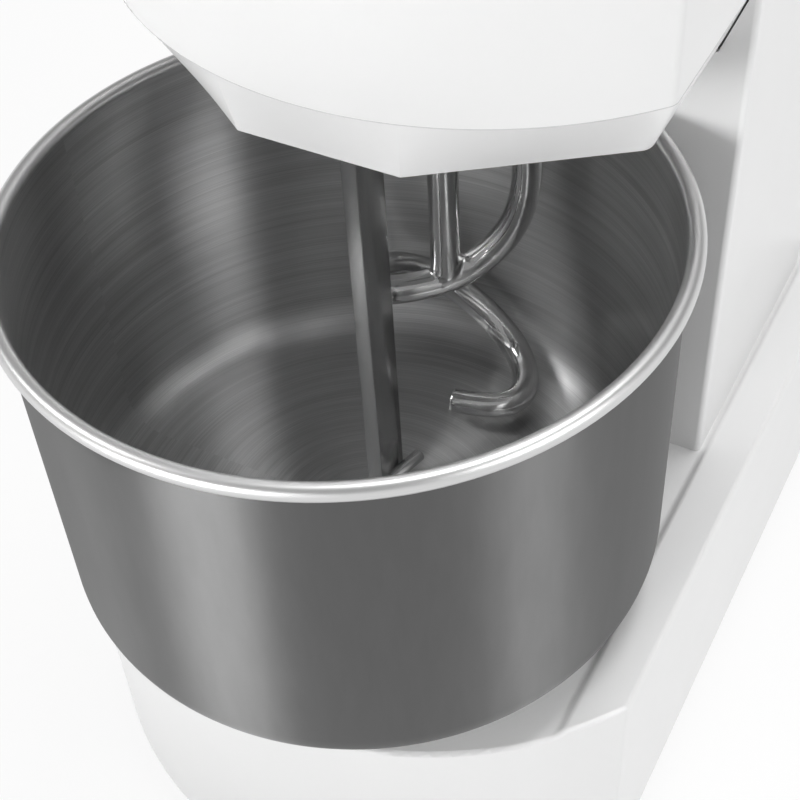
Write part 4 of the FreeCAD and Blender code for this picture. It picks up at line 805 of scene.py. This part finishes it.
def make_seam():
    """Thin pale grey strip between the hood and the skirt, painted shade that shows as the seam line."""
    low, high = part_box("head_skirt")
    middle = (0, (low.y + high.y) / 2, high.z)

    def not_on_top(middle, normal):
        return not (normal.z > FACES_UP and middle.z > high.z - SAME_LEVEL)

    seam = copy_of(NODES["head_skirt"])
    seam.parent = None
    seam.matrix_world = Matrix.Identity(4)
    open_piece(seam)
    bpy.ops.mesh.select_all(action="SELECT")
    bpy.ops.mesh.remove_doubles(threshold=MERGE_SOLID)
    pick_faces(seam, not_on_top)
    bpy.ops.mesh.delete(type="FACE")
    bpy.ops.mesh.select_all(action="SELECT")
    bpy.ops.mesh.extrude_region_move(TRANSFORM_OT_translate={"value": (0, 0, -SEAM_THICKNESS)})
    bpy.ops.mesh.select_all(action="SELECT")
    bpy.ops.mesh.normals_make_consistent(inside=False)
    bpy.ops.transform.resize(value=(SEAM_SPREAD, SEAM_SPREAD, 1.0), center_override=middle)
    close_piece()
    hand_over(seam, "head_seam", "head", "grey_plastic", finish=FINISH["pale_gasket"])


# controls on the head

PANEL_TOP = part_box("control_panel")[1].z
KNOB_SIDES = 72
KNOB_HEIGHT = 0.0165
STEM_RADIUS = 0.004
STEM_EASE = 0.0004
SKIRT_EASE = 0.0005
SKIRT_RIM = 0.0024

# the shoulder is an inset from the skirt's edge and a rise from its foot, the grip's corner is radius and
# rise from that foot, and the crown is radius and drop from the top
SKIRT_SHOULDER = (0.0006, 0.0032)
GRIP_CORNER = ((0.0152, 0.0042), (0.0142, 0.0052), (0.0140, 0.0060))
GRIP_CROWN = ((0.0130, 0.0024), (0.0126, 0.0010), (0.0117, 0.0002), (0.0100, 0.0))
CROWN_DISH = 0.0005
CROWN_DISH_RADIUS = 0.0092
GRIP_FLUTE_LOW = 0.0062
GRIP_FLUTE_HIGH = 0.003
GRIP_FLUTE_RADIUS = 0.0122
GRIP_FLUTE_LIP = 0.0002
GRIP_FLUTE_DEPTH = 0.0007
POINTER_HALF = 0.0008
POINTER_START, POINTER_END = 0.0024, 0.0112
POINTER_THICKNESS = 0.001
POINTER_EASE = 0.0002


def knob_profile(reach, top):
    """Stem, skirt, grip and dished crown of a knob, as radius and height."""
    foot = top - KNOB_HEIGHT
    profile = [(0.0, 0.0), (STEM_RADIUS - STEM_EASE, 0.0), (STEM_RADIUS, STEM_EASE), (STEM_RADIUS, foot)]
    profile += [(reach - SKIRT_EASE, foot), (reach, foot + SKIRT_EASE), (reach, foot + SKIRT_RIM)]
    profile += [(reach - SKIRT_SHOULDER[0], foot + SKIRT_SHOULDER[1])]
    profile += [(radius, foot + rise) for radius, rise in GRIP_CORNER]
    profile += [(radius, top - drop) for radius, drop in GRIP_CROWN]
    profile += [(CROWN_DISH_RADIUS, top - CROWN_DISH), (0.0, top - CROWN_DISH)]
    return profile


def make_knob(node):
    """Skirted knob with a fluted grip and a raised pointer."""
    low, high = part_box(node)
    middle = (low + high) / 2
    seat = (middle.x, middle.y, low.z)
    top = high.z - low.z
    knob = spun(knob_profile((high.x - low.x) / 2, top), KNOB_SIDES)
    flutes(knob, top - KNOB_HEIGHT + GRIP_FLUTE_LOW, top - GRIP_FLUTE_HIGH, GRIP_FLUTE_RADIUS, KNOB_SIDES,
           GRIP_FLUTE_LIP, GRIP_FLUTE_DEPTH)
    place_at(knob, seat)
    hand_over(knob, node + "_piece", node, "dark_plastic", [node])
    pointer = block((-POINTER_HALF, POINTER_START, top - POINTER_THICKNESS), (POINTER_HALF, POINTER_END, top))
    ease(pointer, POINTER_EASE, steps=2)
    place_at(pointer, seat)
    hand_over(pointer, node + "_pointer", node, "white_paint")


TICK_HALF = 0.0003
TICK_START = 0.0192
TICK_LONG = 0.0212
TICK_SHORT = 0.0204
PRINT_SUNK = 0.0002
PRINT_PROUD = 0.00012
NUMBER_RING = 0.0236
NUMBER_SIZE = 0.0036


def make_number(label, place):
    """Plain number, printed flat on the panel."""
    deselect()
    bpy.ops.object.text_add()
    number = bpy.context.object
    number.data.body = label
    number.data.size = NUMBER_SIZE
    number.data.align_x = "CENTER"
    number.data.align_y = "CENTER"
    number.data.extrude = PRINT_PROUD
    bpy.ops.object.convert(target="MESH")
    place_at(number, place)
    return number


def make_scale(node, name, turn, labels):
    """Ticks and plain numbers round a knob, with a short tick half way between two numbers."""
    low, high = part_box(node)
    middle = (low + high) / 2
    steps = len(labels) - 1
    marks = []
    for index in range(2 * steps + 1):
        end = TICK_LONG if index % 2 == 0 else TICK_SHORT
        tick = block((-TICK_HALF, TICK_START, -PRINT_SUNK), (TICK_HALF, end, PRINT_PROUD))
        angle = math.radians(turn * index / (2 * steps))
        place_at(tick, (middle.x, middle.y, PANEL_TOP), (0, 0, -angle))
        marks.append(tick)
    for index, label in enumerate(labels):
        angle = math.radians(turn * index / steps)
        across = NUMBER_RING * math.sin(angle)
        back = NUMBER_RING * math.cos(angle)
        marks.append(make_number(label, (middle.x + across, middle.y + back, PANEL_TOP)))
    hand_over(join(marks), name, "head", "white_paint")


BUTTON_SIDES = 64
BUTTON_EASE = 0.0004
BUTTON_ROUND = 0.0014
BUTTON_LIP = 0.0024
DISH_EDGE, DISH_HALF_WAY, DISH_MIDDLE = 0.0003, 0.0009, 0.0011


def make_button(node, slot):
    """Push button with a rounded rim and a dished top."""
    low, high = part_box(node)
    middle = (low + high) / 2
    top = high.z - low.z
    reach = (high.x - low.x) / 2
    profile = [(0.0, 0.0), (reach - BUTTON_EASE, 0.0), (reach, BUTTON_EASE)]
    profile += bend(reach - BUTTON_ROUND, top - BUTTON_ROUND, BUTTON_ROUND, 0, 90, ROUND_STEPS)
    profile += [(reach - BUTTON_LIP, top - DISH_EDGE), (reach / 2, top - DISH_HALF_WAY)]
    profile += [(0.0, top - DISH_MIDDLE)]
    button = spun(profile, BUTTON_SIDES)
    place_at(button, (middle.x, middle.y, low.z))
    hand_over(button, node + "_piece", node, slot, [node])


# hinge caps on the column's cheeks

COLUMN_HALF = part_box("column_shell")[1].x
CAP_SIDES = 64
CAP_EDGE = 0.45
CAP_ROUND = 0.5
CAP_GROOVE_LIPS = (0.66, 0.56)
CAP_GROOVE_FLOOR = (0.64, 0.58)
CAP_GROOVE_DEPTH = 0.0006
CAP_SOCKET_RADIUS = 0.0046
CAP_SOCKET_DEPTH = 0.003


def make_hinge_caps():
    """Caps with a rounded edge, a groove and a hexagon socket, one on each cheek."""
    low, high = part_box("hinge_caps")
    middle = (low + high) / 2
    reach = (high.z - low.z) / 2
    tall = high.x - COLUMN_HALF
    groove = tall - CAP_GROOVE_DEPTH
    profile = [(0.0, 0.0), (reach, 0.0), (reach, tall * CAP_EDGE)]
    profile += bend(reach - tall * CAP_ROUND, tall * CAP_ROUND, tall * CAP_ROUND, 0, 90, ROUND_STEPS)
    profile += [(reach * CAP_GROOVE_LIPS[0], tall)]
    profile += [(reach * share, groove) for share in CAP_GROOVE_FLOOR]
    profile += [(reach * CAP_GROOVE_LIPS[1], tall), (0.0, tall)]
    cap = spun(profile, CAP_SIDES)
    cut_socket(cap, CAP_SOCKET_RADIUS, CAP_SOCKET_DEPTH, tall)
    other = copy_of(cap)
    place_at(cap, (COLUMN_HALF, middle.y, middle.z), (0, math.pi / 2, 0))
    place_at(other, (-COLUMN_HALF, middle.y, middle.z), (0, -math.pi / 2, 0))
    hand_over(join([cap, other]), "hinge_cap_pieces", "frame", "machine_steel", ["hinge_caps"])


# head lock

LOCK_SIDES = 72
LOCK_DISH = 0.0006
LOCK_DISH_EDGE = (0.0055, 0.0062)

# the rim's points are inset and height, the neck's are radius and height
LOCK_FACE_ROUND = ((0.0016, 0.0), (0.0004, 0.0005), (0.0, 0.0016))
LOCK_RIM_TOP = ((0.0, 0.0056), (0.0006, 0.0064))
LOCK_NECK = ((0.0066, 0.0078), (0.0056, 0.008))
LOCK_PIN_RADIUS = 0.004
LOCK_PIN_EASE = 0.001
LOCK_FLUTE_LOW, LOCK_FLUTE_HIGH = 0.0018, 0.0055
LOCK_FLUTE_INSET = 0.0008
LOCK_FLUTE_LIP = 0.0001
LOCK_FLUTE_DEPTH = 0.0005


def make_lock_knob():
    """Push knob with grip flutes, in one with the lock pin."""
    low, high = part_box("lock_pin")
    middle = (low + high) / 2
    reach = (high.z - low.z) / 2
    end = high.x - low.x
    profile = [(0.0, LOCK_DISH), (LOCK_DISH_EDGE[0], LOCK_DISH), (LOCK_DISH_EDGE[1], 0.0)]
    profile += [(reach - inset, rise) for inset, rise in LOCK_FACE_ROUND + LOCK_RIM_TOP]
    profile += [*LOCK_NECK, (LOCK_PIN_RADIUS, LOCK_NECK[-1][1])]
    profile += [(LOCK_PIN_RADIUS, end - LOCK_PIN_EASE), (LOCK_PIN_RADIUS - LOCK_PIN_EASE, end), (0.0, end)]
    knob = spun(profile, LOCK_SIDES)
    flutes(knob, LOCK_FLUTE_LOW, LOCK_FLUTE_HIGH, reach - LOCK_FLUTE_INSET, LOCK_SIDES,
           LOCK_FLUTE_LIP, LOCK_FLUTE_DEPTH)
    place_at(knob, (low.x, middle.y, middle.z), (0, math.pi / 2, 0))
    hand_over(knob, "lock_knob_piece", "lock_pin", "dark_plastic", ["lock_pin"])


# rear cover and power inlet

HOOD_ROWS = 9
HOOD_PITCH = 0.014
HOOD_LENGTH = 0.12
HOOD_RADIUS = 0.0042
HOOD_SIDES = 32
HOOD_LIP = 0.0012
HOOD_FLATNESS = 0.75
HOOD_SHEET = 0.0008


def cut_away(place, normal):
    """Cuts the open piece at a plane and drops what lies behind it."""
    bpy.ops.mesh.select_all(action="SELECT")
    bpy.ops.mesh.bisect(plane_co=place, plane_no=normal, clear_inner=True)


def make_hood():
    """Pressed hood along X at the origin, open below and towards the cover."""
    deselect()
    bpy.ops.mesh.primitive_cylinder_add(vertices=HOOD_SIDES, radius=HOOD_RADIUS, depth=HOOD_LENGTH,
                                        end_fill_type="NGON", rotation=(0, math.pi / 2, 0))
    hood = bpy.context.object
    settle(hood)
    open_piece(hood)
    cut_away((0, 0, 0), (0, 1, 0))
    cut_away((0, 0, -HOOD_LIP), (0, 0, 1))
    bpy.ops.mesh.select_all(action="SELECT")
    bpy.ops.transform.resize(value=(1.0, HOOD_FLATNESS, 1.0), center_override=(0, 0, 0))
    close_piece()
    modify(hood, "SOLIDIFY", thickness=HOOD_SHEET, offset=-1.0)
    return hood


def make_cover_hoods():
    """A hood over each slot of the rear cover."""
    low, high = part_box("rear_cover")
    middle_row = (low.z + high.z) / 2
    hood = make_hood()
    hoods = []
    for row in range(HOOD_ROWS):
        twin = copy_of(hood)
        place_at(twin, (0, high.y, middle_row + (row - HOOD_ROWS // 2) * HOOD_PITCH + HOOD_LIP))
        hoods.append(twin)
    bpy.data.objects.remove(hood)
    hand_over(join(hoods), "rear_cover_hoods", "frame", "white_paint")


BLADE_LOW = (-0.001, -0.014, -0.002)
BLADE_HIGH = (0.001, 0.0, 0.002)
BLADE_EASE = 0.0004
BLADE_SUNK = 0.005
BLADE_PLACES = ((-0.0065, -0.0022), (0.0065, -0.0022), (0.0, 0.0026))


def make_inlet_pins():
    """Three contact blades in the well of the power inlet."""
    low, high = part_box("power_inlet")
    middle = (low + high) / 2
    pins = []
    for side, lift in BLADE_PLACES:
        pin = block(BLADE_LOW, BLADE_HIGH)
        ease(pin, BLADE_EASE, steps=2)
        place_at(pin, (middle.x + side, high.y - BLADE_SUNK, middle.z + lift))
        pins.append(pin)
    hand_over(join(pins), "inlet_pins", "frame", "machine_steel")


# feet

FOOT_RADIUS = 0.017
FOOT_SIDES = 48
WELL_DEPTH = 0.0035
WELL_FLOOR, WELL_MOUTH = 0.006, 0.0066
GROOVE_DEPTH = 0.0008
SOLE_GROOVE_LIPS = (0.0105, 0.0121)
SOLE_GROOVE_FLOOR = (0.0108, 0.0118)
SIDE_GROOVE_LIPS = (0.0048, 0.0072)
SIDE_GROOVE_FLOOR = (0.0054, 0.0066)

# inset and height of the rounded edge between sole and side
SOLE_ROUND = ((0.002, 0.0), (0.0006, 0.0006), (0.0, 0.002))


def foot_profile(tall):
    """Screw well, grooved sole, rounded edge and grooved side of a foot, as radius and height."""
    profile = [(0.0, WELL_DEPTH), (WELL_FLOOR, WELL_DEPTH), (WELL_MOUTH, 0.0)]
    profile += [(SOLE_GROOVE_LIPS[0], 0.0)]
    profile += [(radius, GROOVE_DEPTH) for radius in SOLE_GROOVE_FLOOR]
    profile += [(SOLE_GROOVE_LIPS[1], 0.0)]
    profile += [(FOOT_RADIUS - inset, rise) for inset, rise in SOLE_ROUND]
    profile += [(FOOT_RADIUS, SIDE_GROOVE_LIPS[0])]
    profile += [(FOOT_RADIUS - GROOVE_DEPTH, rise) for rise in SIDE_GROOVE_FLOOR]
    profile += [(FOOT_RADIUS, SIDE_GROOVE_LIPS[1]), (FOOT_RADIUS, tall), (0.0, tall)]
    return profile


def make_feet():
    """Rubber feet with a groove round the sole, one round the side and a well for the screw."""
    low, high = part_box("rubber_feet")
    foot = spun(foot_profile(high.z - low.z), FOOT_SIDES)
    feet = []
    for x in (low.x + FOOT_RADIUS, high.x - FOOT_RADIUS):
        for y in (low.y + FOOT_RADIUS, high.y - FOOT_RADIUS):
            twin = copy_of(foot)
            place_at(twin, (x, y, low.z))
            feet.append(twin)
    bpy.data.objects.remove(foot)
    hand_over(join(feet), "feet_pieces", "frame", "black_rubber", ["rubber_feet"])


# all pieces

make_bowl()
make_hook()
make_bar()
make_seam()
make_knob("timer_knob")
make_knob("speed_knob")
make_scale("timer_knob", "timer_scale", turn=300, labels=["0", "5", "10", "15", "20", "25", "30"])
make_scale("speed_knob", "speed_scale", turn=270, labels=["0", "1", "2", "3", "4", "5", "6"])
make_button("start_button", "green_plastic")
make_button("stop_button", "red_plastic")
make_hinge_caps()
make_lock_knob()
make_cover_hoods()
make_inlet_pins()
make_feet()


# stage and light

FLOOR_SIZE = 40
BACKDROP_RADIUS = 18
BACKDROP_HEIGHT = 5.4
BACKDROP_SIDES = 96
BACKDROP_SUNK = 0.1
STAGE_WHITE = 0.88
SKY_STRENGTH = 0.31
LAMP_AIM = (0.0, -0.05, 0.35)


def stage_white():
    """Matt pale surface that takes shadows, and looks nearly white to the camera and in reflections."""
    material = bpy.data.materials.new("pale floor")
    material.use_nodes = True
    sheet = Sheet(material.node_tree)
    shader = material.node_tree.nodes["Principled BSDF"]
    surface = material.node_tree.nodes["Material Output"].inputs["Surface"]
    shader.inputs["Base Color"].default_value = colour(0.9)
    shader.inputs["Roughness"].default_value = 0.9
    shader.inputs["Specular IOR Level"].default_value = 0.1
    path = sheet.add("LightPath").outputs
    mirrored = sheet.math("MAXIMUM", path["Is Glossy Ray"], path["Is Transmission Ray"])
    seen = sheet.math("MAXIMUM", path["Is Camera Ray"], mirrored)
    white = sheet.add("Emission", Color=colour(1.0), Strength=1.0)
    blend = sheet.add("MixShader")
    sheet.set(blend, "0", sheet.math("MULTIPLY", seen, STAGE_WHITE))
    sheet.set(blend, "1", shader.outputs[0])
    sheet.set(blend, "2", white.outputs[0])
    sheet.tree.links.new(blend.outputs[0], surface)
    return material


def make_stage():
    """Floor with a low round backdrop, far enough out to show as one white ground."""
    bpy.ops.mesh.primitive_plane_add(size=FLOOR_SIZE)
    floor = bpy.context.object
    floor.name = "floor"
    middle = (0, 0, BACKDROP_HEIGHT / 2 - BACKDROP_SUNK)
    bpy.ops.mesh.primitive_cylinder_add(vertices=BACKDROP_SIDES, radius=BACKDROP_RADIUS,
                                        depth=BACKDROP_HEIGHT, end_fill_type="NOTHING", location=middle)
    backdrop = bpy.context.object
    backdrop.name = "backdrop"
    material = stage_white()
    for piece in (floor, backdrop):
        piece.data.materials.append(material)


def make_world():
    """Even dim light from all round."""
    world = bpy.data.worlds.new("studio")
    bpy.context.scene.world = world
    world.use_nodes = True
    sky = world.node_tree.nodes["Background"]
    sky.inputs["Color"].default_value = colour(1.0)
    sky.inputs["Strength"].default_value = SKY_STRENGTH


def make_softbox(name, bearing, height, distance, size, power, aim=LAMP_AIM, spread=180):
    """Soft light panel. The bearing is in degrees from the front, positive to the right seen from there."""
    angle = math.radians(bearing)
    place = Vector((distance * math.sin(angle), -distance * math.cos(angle), height))
    bpy.ops.object.light_add(type="AREA", location=place)
    lamp = bpy.context.object
    lamp.name = name
    lamp.data.shape = "RECTANGLE"
    lamp.data.size, lamp.data.size_y = size
    lamp.data.energy = power
    lamp.data.spread = math.radians(spread)
    lamp.rotation_euler = (Vector(aim) - place).to_track_quat("-Z", "Y").to_euler()


make_stage()
make_world()
make_softbox("left_key", bearing=-66, height=2.5, distance=2.2, size=(1.0, 1.0), power=20.5)
make_softbox("front_strip", bearing=-12, height=0.62, distance=1.3, size=(0.62, 0.4), power=1.25,
             aim=(0.0, -0.1, 0.42), spread=60)
make_softbox("right_strip", bearing=78, height=1.18, distance=1.75, size=(0.7, 0.5), power=9.5)
make_softbox("corner_panel", bearing=86, height=1.9, distance=1.9, size=(1.5, 0.3), power=4.5)
make_softbox("top_panel", bearing=150, height=4.0, distance=0.9, size=(1.2, 1.2), power=58)
